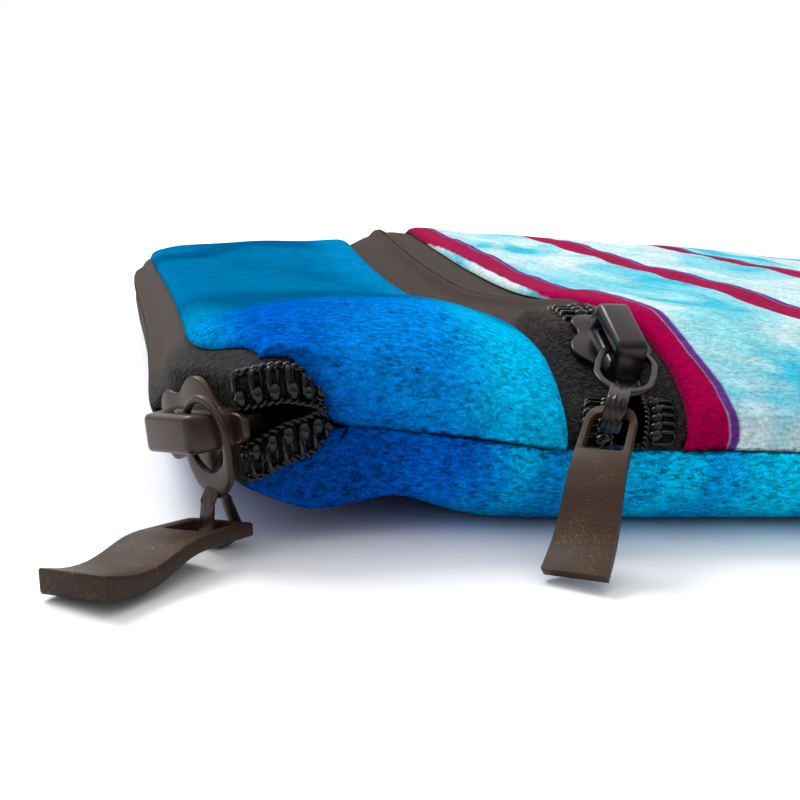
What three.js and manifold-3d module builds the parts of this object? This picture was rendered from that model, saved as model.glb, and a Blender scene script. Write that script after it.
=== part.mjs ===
// A soft velvet zip pouch that lies on its back panel, in millimetres with +Z up.
// The pouch is drawn in its own plan: x runs from the main zip to the bottom seam, y from the near side
// seam to the far one. The whole is moved at the end, so that the origin is under its middle.
import * as THREE from "three";
import { mergeVertices } from "three/addons/utils/BufferGeometryUtils.js";
import Module from "manifold-3d";

const wasm = await Module();
wasm.setup();

// Driving dimensions
const POUCH_LENGTH = 176; // main zip to bottom seam
const POUCH_WIDTH = 164; // side seam to side seam
const BASE_CENTRE = new THREE.Vector2(86, 82); // the point under the middle of the pouch
const SEAM_HEIGHT = 9.6; // height of the side and bottom seams
const CORNER = 16; // plan radius of the two bottom corners
const TOP_ROUND = 26; // how far the front takes to turn down to a seam
const UNDER_ROUND = 11; // how far the back takes to turn up to a seam
const HEM_ROUND = 16; // how far the back takes to turn up to the main zip
const VELVET = 2.0; // thickness of the padded velvet
const EDGE_ROLL = 1.2; // how much the velvet stands above the tape along a zip
const ROLL_REACH = 2.4; // how far from a zip the velvet takes to do so
const TAPE = 0.7; // thickness of a zip tape
const TAPE_FLAT = 2.8; // the width of tape beside the chain that stays flat
const TAPE_HELD = 5.3; // the same, where a slider holds the tape
const COIL_WIDE = 1.9; // one row of the coil, across the tape
const COIL_DEEP = 1.3; // one row of the coil, through the tape
const GAP = 0.3; // clearance between neighbours
const TAPE_MARGIN = 0.7; // where a tape ends before a velvet edge
const SLIDER_LONG = 11.4;
const SLIDER_FRONT = 9.2; // width of a slider at its mouth
const SLIDER_TAIL = 6.8;
const PLATE = 0.9; // thickness of a slider's two plates
const LOWER_SHORT = 0.8; // how much the lower plate stops short at each end
const CROWN_WIDE = 3.4;
const CROWN_HIGH = 5.3; // top of the crown above the tape
const RING_WIDE = 6.5;
const RING_LONG = 10.1;
const RING_THICK = 0.6;
const RING_BAND = 0.85; // width of the ring beside its hole
const EYE_BAND = 2.0;
const EYE_WIRE = 0.6;
const EYE_OPEN = 2.2;
const TAB_HEAD_THICK = 1.15;
const TAB_END_THICK = 2.2;
const SLOT_FROM = 0.9; // the slot's start and end, from the tab's head
const SLOT_TO = 5.8;
const SLOT_WIDE = 4.5;

// The main zip, from its near end in the side seam round the left wall to its far end.
// x, y and z follow the chain. The lip is the front panel's edge and the hem is the back panel's edge, each
// set in from the chain by its "In" at its own height. The gap is half the space between the two coil rows,
// and stand is 1 where the tape is held upright by the slider.
const MAIN_ZIP = [
  { along: 0, x: 18, y: 2.4, z: 11.4, lipIn: 0.2, lipZ: 12.2, hemIn: 0.2, hemZ: 10.6, gap: 0.4, stand: 0 },
  { along: 0.025, x: 15.8, y: -0.1, z: 13, lipIn: 1.2, lipZ: 15.2, hemIn: 0.5, hemZ: 9.3, gap: 1.2, stand: 0.4 },
  { along: 0.05, x: 12.6, y: -1.8, z: 13, lipIn: 2.6, lipZ: 18.1, hemIn: 1.4, hemZ: 7.5, gap: 2, stand: 0.8 },
  { along: 0.085, x: 9.1, y: -1.6, z: 12, lipIn: 2.6, lipZ: 17.9, hemIn: 0.3, hemZ: 6.3, gap: 1.8, stand: 1 },
  { along: 0.105, x: 8.1, y: 0, z: 11.5, lipIn: 3, lipZ: 18, hemIn: 0.3, hemZ: 5.9, gap: 1.45, stand: 1 },
  { along: 0.14, x: 6.2, y: 3.2, z: 10.9, lipIn: 3.4, lipZ: 18.1, hemIn: 1.2, hemZ: 6, gap: 0.25, stand: 1 },
  { along: 0.195, x: 3.3, y: 8, z: 10, lipIn: 3, lipZ: 17.2, hemIn: 2.2, hemZ: 6, gap: 0.2, stand: 1 },
  { along: 0.24, x: 1.7, y: 14.5, z: 10.5, lipIn: 2.8, lipZ: 16.9, hemIn: 1.3, hemZ: 5.8, gap: 0.2, stand: 0.4 },
  { along: 0.3, x: 1.5, y: 30, z: 11.2, lipIn: 2.5, lipZ: 16.7, hemIn: -0.4, hemZ: 6, gap: 0.2, stand: 0 },
  { along: 0.4, x: 1.2, y: 55, z: 11.2, lipIn: 2.2, lipZ: 16.2, hemIn: -0.7, hemZ: 5.8, gap: 0.2, stand: 0 },
  { along: 0.5, x: 0.3, y: 82, z: 10.7, lipIn: 2.1, lipZ: 15.4, hemIn: -0.7, hemZ: 5.5, gap: 0.2, stand: 0 },
  { along: 0.6, x: -0.7, y: 107, z: 10.1, lipIn: 2.1, lipZ: 14.6, hemIn: -0.7, hemZ: 5.2, gap: 0.2, stand: 0 },
  { along: 0.7, x: -1.3, y: 130, z: 9.4, lipIn: 2.1, lipZ: 13.6, hemIn: -0.6, hemZ: 4.9, gap: 0.2, stand: 0 },
  { along: 0.8, x: -0.9, y: 148, z: 9.0, lipIn: 2.0, lipZ: 12.8, hemIn: -0.3, hemZ: 4.8, gap: 0.2, stand: 0 },
  { along: 0.9, x: 3.6, y: 158.5, z: 9.2, lipIn: 1.4, lipZ: 12.2, hemIn: 0.0, hemZ: 5.6, gap: 0.2, stand: 0 },
  { along: 1.0, x: 14.0, y: 162, z: 9.7, lipIn: 0.2, lipZ: 10.6, hemIn: 0.2, hemZ: 8.8, gap: 0.2, stand: 0 },
];

// The pocket zip, from the near seam over the front to the far seam: the chain, and the height of the
// velvet's edge on its left and right, which keep half a tape from the chain's line.
const POCKET_ZIP = [
  { along: 0.0, x: 46.9, y: 0.0, z: 9.8, leftX: 40.6, leftZ: 9.8, rightX: 53.0, rightZ: 9.8, gap: 2.0 },
  { along: 0.1, x: 48.6, y: 4.0, z: 12.6, leftX: 41.3, leftZ: 13.2, rightX: 54.3, rightZ: 13.9, gap: 2.0 },
  { along: 0.142, x: 49.5, y: 7.5, z: 14.2, leftX: 41.9, leftZ: 14.5, rightX: 54.9, rightZ: 15.5, gap: 1.4 },
  { along: 0.16, x: 49.45, y: 9.4, z: 15.3, leftX: 42.1, leftZ: 15.1, rightX: 55.2, rightZ: 16.2, gap: 1.45 },
  { along: 0.18, x: 49.3, y: 12.5, z: 17.0, leftX: 42.3, leftZ: 15.8, rightX: 55.4, rightZ: 17.0, gap: 0.25 },
  { along: 0.214, x: 49.1, y: 17.5, z: 19.8, leftX: 42.4, leftZ: 16.5, rightX: 55.4, rightZ: 18.6, gap: 0.2 },
  { along: 0.25, x: 48.7, y: 24, z: 20.6, leftX: 42.0, leftZ: 17.2, rightX: 55.0, rightZ: 20.0, gap: 0.2 },
  { along: 0.3, x: 47.6, y: 33.8, z: 19.4, leftX: 41.1, leftZ: 17.2, rightX: 54.0, rightZ: 19.9, gap: 0.2 },
  { along: 0.4, x: 45.6, y: 56.7, z: 17.4, leftX: 39.2, leftZ: 15.8, rightX: 52.0, rightZ: 18.6, gap: 0.2 },
  { along: 0.5, x: 45.2, y: 82, z: 17.8, leftX: 38.8, leftZ: 15.8, rightX: 51.6, rightZ: 19.0, gap: 0.2 },
  { along: 0.6, x: 45.9, y: 107, z: 18.8, leftX: 39.5, leftZ: 16.4, rightX: 52.3, rightZ: 19.8, gap: 0.2 },
  { along: 0.7, x: 47.2, y: 130, z: 19.6, leftX: 40.8, leftZ: 16.9, rightX: 53.6, rightZ: 20.3, gap: 0.2 },
  { along: 0.8, x: 48.4, y: 148.3, z: 19.4, leftX: 42.0, leftZ: 16.9, rightX: 54.8, rightZ: 20.2, gap: 0.2 },
  { along: 0.9, x: 49.2, y: 160, z: 15.4, leftX: 42.8, leftZ: 14.0, rightX: 55.6, rightZ: 16.0, gap: 0.2 },
  { along: 1.0, x: 49.4, y: 164, z: 9.8, leftX: 43.0, leftZ: 9.8, rightX: 55.8, rightZ: 9.8, gap: 0.2 },
];

// How far the upper front panel swells above the straight line between its two zips.
const UPPER_SWELL = [
  { along: 0.0, rise: 0 },
  { along: 0.05, rise: 0.9 },
  { along: 0.1, rise: 2.1 },
  { along: 0.15, rise: 3.3 },
  { along: 0.2, rise: 4.2 },
  { along: 0.24, rise: 3.9 },
  { along: 0.3, rise: 2.3 },
  { along: 0.4, rise: 0.7 },
  { along: 0.5, rise: 0.5 },
  { along: 0.7, rise: 0.8 },
  { along: 0.9, rise: 0.4 },
  { along: 1.0, rise: 0 },
];

// Heights of the pocket panel's sections from the pocket zip to the bottom seam, at five places across.
const POCKET_SECTIONS = [
  { x: 55, near: 20.2, front: 20.2, middle: 19.2, back: 20.1, far: 20.6 },
  { x: 90, near: 19.8, front: 20.8, middle: 21.2, back: 21.4, far: 21.0 },
  { x: 130, near: 18.8, front: 20.0, middle: 20.6, back: 20.4, far: 19.6 },
  { x: 176, near: 16.0, front: 17.4, middle: 18.4, back: 18.0, far: 16.6 },
];
const SECTION_PLACES = [
  { key: "near", y: 16 },
  { key: "front", y: 42 },
  { key: "middle", y: 82 },
  { key: "back", y: 122 },
  { key: "far", y: 150 },
];

// Where the near side seam leaves the zip's end, and how much it rises there.
const NEAR_SEAM = [
  { x: 18, y: 2.4, rise: 1.8 },
  { x: 26, y: 0.8, rise: 1.5 },
  { x: 36, y: 0, rise: 0.3 },
  { x: 44, y: 0, rise: 0 },
];
const FAR_SEAM_END = { x: 14, reach: 16, inset: 2 };

// Where the back panel is pushed up off the table by a fold, beside the near zip end.
const BACK_FOLDS = [
  { x: 24, y: 4, rise: 3.0, reachX: 7, reachY: 16 },
  { x: 7, y: 3, rise: 2.3, reachX: 6.5, reachY: 16 },
];

// Bend of a pull tab: height of its middle line above the straight line from head to end.
const TAB_BEND = [
  { share: 0, rise: 0 },
  { share: 0.15, rise: 0.2 },
  { share: 0.29, rise: 0.4 },
  { share: 0.42, rise: 0.5 },
  { share: 0.51, rise: 0.28 },
  { share: 0.63, rise: -0.35 },
  { share: 0.73, rise: -0.7 },
  { share: 0.85, rise: -0.65 },
  { share: 1, rise: 0 },
];

// Where each pull lies: the middle of its ring, the way the ring points up from its eye, the way the ring
// faces, how far the eye reaches past the ring, and the tab's head, end and width direction. The pocket's
// castings are a size smaller, and its tab is shorter.
const PULLS = {
  main: {
    sliderSize: 1,
    ringSize: 1,
    tabSize: 1,
    eyeLong: 4.7,
    ringTongue: 2.7,
    tabLong: 20.3,
    tabHeadWide: 7.7,
    tabEndWide: 7.2,
    tabEndThick: TAB_END_THICK,
    tabCorner: 1.0,
    slotWide: SLOT_WIDE,
    ring: new THREE.Vector3(5.78, -0.75, 9.78),
    ringUp: new THREE.Vector3(-0.18, -0.1, 0.977),
    ringFace: new THREE.Vector3(-0.82, -0.57, -0.04),
    tabHead: new THREE.Vector3(7.52, 0.42, 1.9),
    tabEnd: new THREE.Vector3(-5.4, -15.5, 2.1),
    tabWide: new THREE.Vector3(0.93, -0.37, 0.12),
  },
  pocket: {
    sliderSize: 0.96,
    ringSize: 1,
    tabSize: 0.89,
    eyeLong: 5.7,
    ringTongue: 1.3,
    tabLong: 20.2,
    tabHeadWide: 5.5,
    tabEndWide: 6.8,
    tabEndThick: 1.5,
    tabCorner: 1.7,
    slotWide: SLOT_WIDE * 0.95,
    ring: new THREE.Vector3(48.35, 5.7, 16.9),
    ringUp: new THREE.Vector3(0.44, 0.84, 0.32),
    ringFace: new THREE.Vector3(0, -0.4, 0.92),
    tabHead: new THREE.Vector3(44.6, -1.5, 14.3),
    tabEnd: new THREE.Vector3(38.0, -12.0, 1.1),
    tabWide: new THREE.Vector3(0.8, -0.57, 0.1),
  },
};

// Number of steps that the soft pieces are drawn with
const STEPS_ALONG = 32;
const STEPS_ZIP = 26;
const STEPS_BACK = 27;
const STEPS_FLAT = 6;
const STEPS_CORNER = 5;
const TAB_STEPS = 15;
const CURVE_STEPS = 6;


const FINISH = {
  blueVelvet: new THREE.MeshStandardMaterial({ color: 0x0a62b4, roughness: 0.95, metalness: 0 }),
  stripedVelvet: new THREE.MeshStandardMaterial({ color: 0x9fd6e6, roughness: 0.95, metalness: 0 }),
  backVelvet: new THREE.MeshStandardMaterial({ color: 0x1683c0, roughness: 0.95, metalness: 0 }),
  tape: new THREE.MeshStandardMaterial({ color: 0x1b1918, roughness: 0.9, metalness: 0 }),
  coil: new THREE.MeshStandardMaterial({ color: 0x101012, roughness: 0.35, metalness: 0 }),
  blackPaint: new THREE.MeshStandardMaterial({ color: 0x1c1b1c, roughness: 0.45, metalness: 0.6 }),
  bronzePaint: new THREE.MeshStandardMaterial({ color: 0x2e2722, roughness: 0.5, metalness: 0.6 }),
};

const pouch = new THREE.Group();
pouch.name = "zip_pouch";
const plan = new THREE.Group();
plan.position.set(-BASE_CENTRE.x, -BASE_CENTRE.y, 0);
pouch.add(plan);

function addPiece(name, geometry, finish) {
  const mesh = new THREE.Mesh(geometry, finish);
  mesh.name = name;
  plan.add(mesh);
  return mesh;
}

// Smooth value of a named column at a place along a table, passing through every row
function column(rows, at, key, place) {
  const last = rows.length - 1;
  const here = THREE.MathUtils.clamp(place, rows[0][at], rows[last][at]);
  let i = 0;
  while (i < last - 1 && here > rows[i + 1][at]) i += 1;
  const slope = (k) => {
    const before = rows[Math.max(k - 1, 0)];
    const after = rows[Math.min(k + 1, last)];
    return (after[key] - before[key]) / (after[at] - before[at]);
  };
  const span = rows[i + 1][at] - rows[i][at];
  const t = (here - rows[i][at]) / span;
  const leave = slope(i) * span;
  const arrive = slope(i + 1) * span;
  const turn = t * t * (3 - 2 * t);
  const bend = t * (1 - t);
  return rows[i][key] * (1 - turn) + rows[i + 1][key] * turn + bend * ((1 - t) * leave - t * arrive);
}

const tableLook = (rows) => (key, place) => column(rows, "along", key, place);
const mainAt = tableLook(MAIN_ZIP);
const pocketAt = tableLook(POCKET_ZIP);

// Height of a quarter round, as a share of its full height, at a share of its reach
function quarterRound(share) {
  const e = THREE.MathUtils.clamp(share, 0, 1);
  return Math.sqrt(e * (2 - e));
}

// Plan of the seams: the near and far edges of the pouch at x, and the seam's height there
function cornerInset(x) {
  const over = THREE.MathUtils.clamp(x - (POUCH_LENGTH - CORNER), 0, CORNER);
  return CORNER - Math.sqrt(CORNER * CORNER - over * over);
}

function nearEdge(x) {
  return column(NEAR_SEAM, "x", "y", x) + cornerInset(x);
}

function farEdge(x) {
  const share = THREE.MathUtils.clamp((x - FAR_SEAM_END.x) / FAR_SEAM_END.reach, 0, 1);
  return POUCH_WIDTH - FAR_SEAM_END.inset * (1 - share) * (1 - share) - cornerInset(x);
}

function seamHeight(x, y) {
  const nearShare = THREE.MathUtils.clamp(1 - y / (POUCH_WIDTH / 2), 0, 1);
  return SEAM_HEIGHT + column(NEAR_SEAM, "x", "rise", x) * nearShare;
}

// Places in x from a panel's edge to the bottom seam: even steps, then steps round the bottom corners
function columnsFrom(start) {
  const corner = POUCH_LENGTH - CORNER;
  const even = stations(STEPS_FLAT).map((share) => THREE.MathUtils.lerp(start, corner, share));
  const round = stations(STEPS_CORNER).slice(1);
  return [...even.slice(1), ...round.map((share) => corner + CORNER * Math.sin((share * Math.PI) / 2))];
}

// Share of the way across the pouch at a share of the way along a zip, with small steps at both seams
function across(along) {
  return 0.5 - 0.5 * Math.cos(Math.PI * along);
}

// Curves of the two zips
function mainChain(along) {
  return new THREE.Vector3(mainAt("x", along), mainAt("y", along), mainAt("z", along));
}

function chainDirection(chain, along, step = 0.004) {
  const from = chain(Math.min(along + step, 1));
  const to = chain(Math.max(along - step, 0));
  return to.sub(from).normalize();
}

const CORNER_EASE = 0.045; // length of zip over which the velvet's edges turn the corner

function mainEdge(along, inKey, heightKey) {
  const point = mainChain(along);
  const ahead = chainDirection(mainChain, along, CORNER_EASE);
  const inward = new THREE.Vector3(-ahead.y, ahead.x, 0).normalize();
  point.addScaledVector(inward, mainAt(inKey, along));
  point.z = mainAt(heightKey, along);
  return point;
}

const mainLip = (along) => mainEdge(along, "lipIn", "lipZ");
const mainHem = (along) => mainEdge(along, "hemIn", "hemZ");

function pocketChain(along) {
  return new THREE.Vector3(pocketAt("x", along), pocketAt("y", along), pocketAt("z", along));
}

function pocketEdge(along, xKey, heightKey) {
  const x = pocketAt(xKey, along);
  const y = THREE.MathUtils.lerp(nearEdge(x), farEdge(x), across(along));
  return new THREE.Vector3(x, y, pocketAt(heightKey, along));
}

const pocketLeft = (along) => pocketEdge(along, "leftX", "leftZ");
const pocketRight = (along) => pocketEdge(along, "rightX", "rightZ");

// Solids from points
function solidGeometry(vertices, triangles) {
  const geometry = new THREE.BufferGeometry();
  const numbers = vertices.flatMap((p) => [p.x, p.y, p.z]);
  geometry.setAttribute("position", new THREE.Float32BufferAttribute(numbers, 3));
  let volume = 0;
  for (const [a, b, c] of triangles) {
    volume += vertices[a].dot(new THREE.Vector3().crossVectors(vertices[b], vertices[c]));
  }
  const outward = volume > 0 ? triangles : triangles.map(([a, b, c]) => [a, c, b]);
  geometry.setIndex(outward.flat());
  geometry.computeVertexNormals();
  return geometry;
}

// A wall of even thickness behind a grid of points. side is 1 or -1 and says which face is the outside, and
// settle moves a point of the inner face that would pass a seam.
function wall(grid, thickness, side, settle = (point) => point) {
  const rows = grid.length;
  const columns = grid[0].length;
  const outer = grid.flat();
  const inner = [];
  for (let i = 0; i < rows; i += 1) {
    for (let j = 0; j < columns; j += 1) {
      const below = grid[Math.max(i - 1, 0)][j];
      const above = grid[Math.min(i + 1, rows - 1)][j];
      const before = grid[i][Math.max(j - 1, 0)];
      const after = grid[i][Math.min(j + 1, columns - 1)];
      const du = new THREE.Vector3().subVectors(above, below);
      const dv = new THREE.Vector3().subVectors(after, before);
      const out = new THREE.Vector3().crossVectors(du, dv).normalize().multiplyScalar(side);
      inner.push(settle(grid[i][j].clone().addScaledVector(out, -thickness)));
    }
  }
  const vertices = [...outer, ...inner];
  const back = outer.length;
  const triangles = [];
  const quad = (a, b, c, d) => triangles.push([a, b, c], [a, c, d]);
  const at = (i, j) => i * columns + j;
  for (let i = 0; i < rows - 1; i += 1) {
    for (let j = 0; j < columns - 1; j += 1) {
      quad(at(i, j), at(i + 1, j), at(i + 1, j + 1), at(i, j + 1));
      quad(back + at(i, j), back + at(i, j + 1), back + at(i + 1, j + 1), back + at(i + 1, j));
    }
  }
  const rim = [];
  for (let i = 0; i < rows - 1; i += 1) rim.push(at(i, 0));
  for (let j = 0; j < columns - 1; j += 1) rim.push(at(rows - 1, j));
  for (let i = rows - 1; i > 0; i -= 1) rim.push(at(i, columns - 1));
  for (let j = columns - 1; j > 0; j -= 1) rim.push(at(0, j));
  rim.forEach((a, k) => {
    const b = rim[(k + 1) % rim.length];
    quad(a, back + a, back + b, b);
  });
  return solidGeometry(vertices, triangles);
}

// A solid through a row of like loops of points
function loft(loops) {
  const sides = loops[0].length;
  const vertices = loops.flat();
  const triangles = [];
  for (let i = 0; i < loops.length - 1; i += 1) {
    for (let k = 0; k < sides; k += 1) {
      const a = i * sides + k;
      const b = i * sides + ((k + 1) % sides);
      triangles.push([a, b, b + sides], [a, b + sides, a + sides]);
    }
  }
  const end = (loops.length - 1) * sides;
  for (let k = 1; k < sides - 1; k += 1) {
    triangles.push([0, k + 1, k], [end, end + k, end + k + 1]);
  }
  return solidGeometry(vertices, triangles);
}

function bare(geometry) {
  const plain = geometry.clone();
  plain.deleteAttribute("normal");
  plain.deleteAttribute("uv");
  return mergeVertices(plain, 1e-4);
}

function toSolid(geometry) {
  const merged = bare(geometry);
  return new wasm.Manifold(
    new wasm.Mesh({
      numProp: 3,
      vertProperties: merged.attributes.position.array,
      triVerts: new Uint32Array(merged.index.array),
    }),
  );
}

function toGeometry(solid) {
  const mesh = solid.getMesh();
  const geometry = new THREE.BufferGeometry();
  geometry.setAttribute("position", new THREE.BufferAttribute(new Float32Array(mesh.vertProperties), 3));
  geometry.setIndex(new THREE.BufferAttribute(new Uint32Array(mesh.triVerts), 1));
  geometry.computeVertexNormals();
  return geometry;
}

const join = (geometries) => geometries.map(toSolid).reduce((a, b) => a.add(b));

function extrude(shape, from, to) {
  const geometry = new THREE.ExtrudeGeometry(shape, {
    depth: to - from,
    bevelEnabled: false,
    curveSegments: CURVE_STEPS,
  });
  return geometry.translate(0, 0, from);
}

// The front upper panel, between the two zips. At both its ends it is drawn down to the side seam.
function edgeDistances(width) {
  const steps = [0, 0.5, 1.3, ROLL_REACH];
  const middle = [0.2, 0.35, 0.5, 0.65, 0.8].map((share) => share * width);
  return [...steps, ...middle, ...steps.map((d) => width - d).reverse()];
}

function seamPoint(end, share) {
  const point = new THREE.Vector3().lerpVectors(mainLip(end), pocketLeft(end), share);
  const y = end === 0 ? nearEdge(point.x) : farEdge(point.x);
  return new THREE.Vector3(0, y - point.y, seamHeight(point.x, y) + GAP / 2 - point.z);
}

function upperPanelRow(along) {
  const lip = mainLip(along);
  const edge = pocketLeft(along);
  const width = Math.hypot(edge.x - lip.x, edge.y - lip.y);
  const rise = column(UPPER_SWELL, "along", "rise", along);
  const rolled = THREE.MathUtils.smoothstep(Math.min(along, 1 - along), 0, 0.06) * EDGE_ROLL;
  const end = along < 0.5 ? 0 : 1;
  const sewn = 1 - THREE.MathUtils.smoothstep(Math.abs(along - end), 0, 0.1);
  return edgeDistances(width).map((distance) => {
    const share = distance / width;
    const point = new THREE.Vector3().lerpVectors(lip, edge, share);
    point.addScaledVector(seamPoint(end, share), sewn * THREE.MathUtils.smoothstep(share, 0, 0.2));
    const roll = quarterRound(Math.min(distance, width - distance) / ROLL_REACH);
    point.z += rise * Math.pow(Math.sin(Math.PI * share), 0.8) + rolled * roll;
    return point;
  });
}

// The inner face of a front piece stays above the seam, and that of the back stays below it.
function aboveSeam(point) {
  point.z = Math.max(point.z, seamHeight(point.x, point.y) + GAP / 2);
  return point;
}

function belowSeam(point) {
  point.z = Math.min(point.z, seamHeight(point.x, point.y) - GAP / 2);
  return point;
}

function stations(steps) {
  return Array.from({ length: steps + 1 }, (_, i) => i / steps);
}

const upperGrid = stations(STEPS_ALONG).map(upperPanelRow);
addPiece("front_upper_panel", wall(upperGrid, VELVET, -1, aboveSeam), FINISH.blueVelvet);

// The pocket panel, from the pocket zip to the bottom seam
function pocketHeight(x, y) {
  const places = SECTION_PLACES.map(({ key, y: place }) => {
    return { y: place, z: column(POCKET_SECTIONS, "x", key, x) };
  });
  return column(places, "y", "z", y);
}

function pocketPanelRow(along) {
  const lip = pocketRight(along);
  const columns = [0, 0.5, 1.3, ROLL_REACH].map((distance) => lip.x + distance);
  const rolled = THREE.MathUtils.smoothstep(Math.min(along, 1 - along), 0, 0.06) * EDGE_ROLL;
  return [...columns, ...columnsFrom(columns.at(-1))].map((x) => {
    const distance = x - lip.x;
    const y = THREE.MathUtils.lerp(nearEdge(x), farEdge(x), across(along));
    const low = seamHeight(x, y) + GAP / 2;
    const turned =
      quarterRound((y - nearEdge(x)) / TOP_ROUND) *
      quarterRound((farEdge(x) - y) / TOP_ROUND) *
      quarterRound((POUCH_LENGTH - x) / TOP_ROUND);
    const settled = THREE.MathUtils.smoothstep(distance, 0, 30);
    const swollen = low + (pocketHeight(x, y) - low) * turned;
    const roll = rolled * quarterRound(distance / ROLL_REACH);
    return new THREE.Vector3(x, y, THREE.MathUtils.lerp(lip.z + roll, swollen, settled));
  });
}

const pocketGrid = stations(STEPS_ALONG).map(pocketPanelRow);
addPiece("front_pocket_panel", wall(pocketGrid, VELVET, -1, aboveSeam), FINISH.stripedVelvet);

// The back panel, from the main zip's hem under the pouch to the bottom seam
function foldRise(x, y) {
  return BACK_FOLDS.reduce((sum, fold) => {
    const dx = (x - fold.x) / fold.reachX;
    const dy = (y - fold.y) / fold.reachY;
    return sum + fold.rise * Math.exp(-dx * dx - dy * dy);
  }, 0);
}

function backPanelRow(along) {
  const hem = mainHem(along);
  const columns = [0, 0.04, 0.12, 0.25, 0.45, 0.7, 1, 1.6].map((share) => hem.x + share * HEM_ROUND);
  const inside = THREE.MathUtils.smoothstep(Math.min(along, 1 - along), 0, 0.1);
  const slideReach = THREE.MathUtils.lerp(8, 30, inside);
  return [...columns, ...columnsFrom(columns.at(-1))].map((x) => {
    const distance = x - hem.x;
    const square = THREE.MathUtils.lerp(nearEdge(x), farEdge(x), across(along));
    const slide = THREE.MathUtils.smoothstep(distance, 0, slideReach);
    const y = THREE.MathUtils.lerp(hem.y, square, slide);
    const rim = THREE.MathUtils.lerp(hem.z, seamHeight(x, y) - GAP / 2, slide);
    const near = Math.max(y - nearEdge(x), across(along) * POUCH_WIDTH);
    const far = Math.max(farEdge(x) - y, (1 - across(along)) * POUCH_WIDTH);
    const turned =
      quarterRound(near / UNDER_ROUND) *
      quarterRound(far / UNDER_ROUND) *
      quarterRound((POUCH_LENGTH - x) / UNDER_ROUND) *
      quarterRound(distance / HEM_ROUND);
    const lifted = foldRise(x, y) * turned;
    return new THREE.Vector3(x, y, rim * (1 - turned) + lifted * THREE.MathUtils.smoothstep(40 - y, 0, 30));
  });
}

const backGrid = stations(STEPS_BACK).map(backPanelRow);
addPiece("back_panel", wall(backGrid, VELVET, 1, belowSeam), FINISH.backVelvet);

// One zip: two tapes with their coil rows, from a chain and the two velvet edges beside it
function zipFrame(zip, along) {
  const chain = zip.chain(along);
  const left = zip.left(along);
  const right = zip.right(along);
  const ahead = chainDirection(zip.chain, along);
  const stand = zip.stand(along);
  const side = new THREE.Vector3().subVectors(right, left).normalize();
  side.lerp(zip.upright, stand).normalize();
  const out = new THREE.Vector3().crossVectors(ahead, side).normalize();
  const flat = THREE.MathUtils.lerp(TAPE_FLAT, TAPE_HELD, stand);
  return { chain, left, right, side, out, flat, gap: zip.gap(along) };
}

function tapeRow(frame, edge, sign) {
  const at = (across) => frame.chain.clone().addScaledVector(frame.side, sign * across);
  const reach = edge.distanceTo(frame.chain);
  const knee = at(Math.min(frame.flat, reach * 0.75));
  const away = new THREE.Vector3().subVectors(edge, knee);
  const outer = knee.clone().addScaledVector(away.clone().normalize(), away.length() - TAPE_MARGIN);
  return [at(Math.min(frame.gap, reach * 0.4)), knee, outer];
}

function coilLoop(frame, edge, sign) {
  const top = -(TAPE + GAP + 0.1);
  const bottom = top - COIL_DEEP;
  const middle = (top + bottom) / 2;
  const from = frame.gap;
  const to = Math.min(frame.gap + COIL_WIDE, edge.distanceTo(frame.chain) * 0.7);
  const outline = [
    [from, middle],
    [from + COIL_DEEP / 3, top],
    [to, top],
    [to, bottom],
    [from + COIL_DEEP / 3, bottom],
  ];
  const at = ([w, n]) => {
    return frame.chain.clone().addScaledVector(frame.side, sign * w).addScaledVector(frame.out, n);
  };
  return outline.map(at);
}

function addZip(names, zip) {
  const framesFrom = (from, to) =>
    stations(STEPS_ZIP)
      .map((share) => THREE.MathUtils.lerp(from, to, share))
      .concat(zip.extra)
      .sort((a, b) => a - b)
      .map((along) => zipFrame(zip, along));
  const tape = framesFrom(zip.tape.from, zip.tape.to);
  const coil = framesFrom(zip.coil.from, zip.coil.to);
  const leftRows = tape.map((f) => tapeRow(f, f.left, -1));
  const rightRows = tape.map((f) => tapeRow(f, f.right, 1));
  addPiece(names.leftTape, wall(leftRows, TAPE, 1, zip.settle), FINISH.tape);
  addPiece(names.rightTape, wall(rightRows, TAPE, -1, zip.settle), FINISH.tape);
  addPiece(names.leftCoil, loft(coil.map((f) => coilLoop(f, f.left, -1))), FINISH.coil);
  addPiece(names.rightCoil, loft(coil.map((f) => coilLoop(f, f.right, 1))), FINISH.coil);
}

const MAIN_UPRIGHT = new THREE.Vector3(-0.158, 0.104, 0.982);
addZip(
  {
    leftTape: "main_zip_tape_lower",
    rightTape: "main_zip_tape_upper",
    leftCoil: "main_zip_coil_lower",
    rightCoil: "main_zip_coil_upper",
  },
  {
    chain: mainChain,
    left: mainHem,
    right: mainLip,
    upright: MAIN_UPRIGHT,
    stand: (along) => mainAt("stand", along),
    gap: (along) => mainAt("gap", along),
    tape: { from: 0.018, to: 0.975 },
    coil: { from: 0.026, to: 0.93 },
    extra: [0.06, 0.085, 0.105, 0.122, 0.15, 0.18],
  },
);
addZip(
  {
    leftTape: "pocket_zip_tape_left",
    rightTape: "pocket_zip_tape_right",
    leftCoil: "pocket_zip_coil_left",
    rightCoil: "pocket_zip_coil_right",
  },
  {
    chain: pocketChain,
    left: pocketLeft,
    right: pocketRight,
    upright: new THREE.Vector3(1, 0, 0),
    stand: (along) => THREE.MathUtils.smoothstep(0.3 - along, 0, 0.05),
    gap: (along) => pocketAt("gap", along),
    tape: { from: 0, to: 1 },
    coil: { from: 0.05, to: 0.94 },
    settle: aboveSeam,
    extra: [0.142, 0.155, 0.172, 0.19, 0.204],
  },
);

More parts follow.
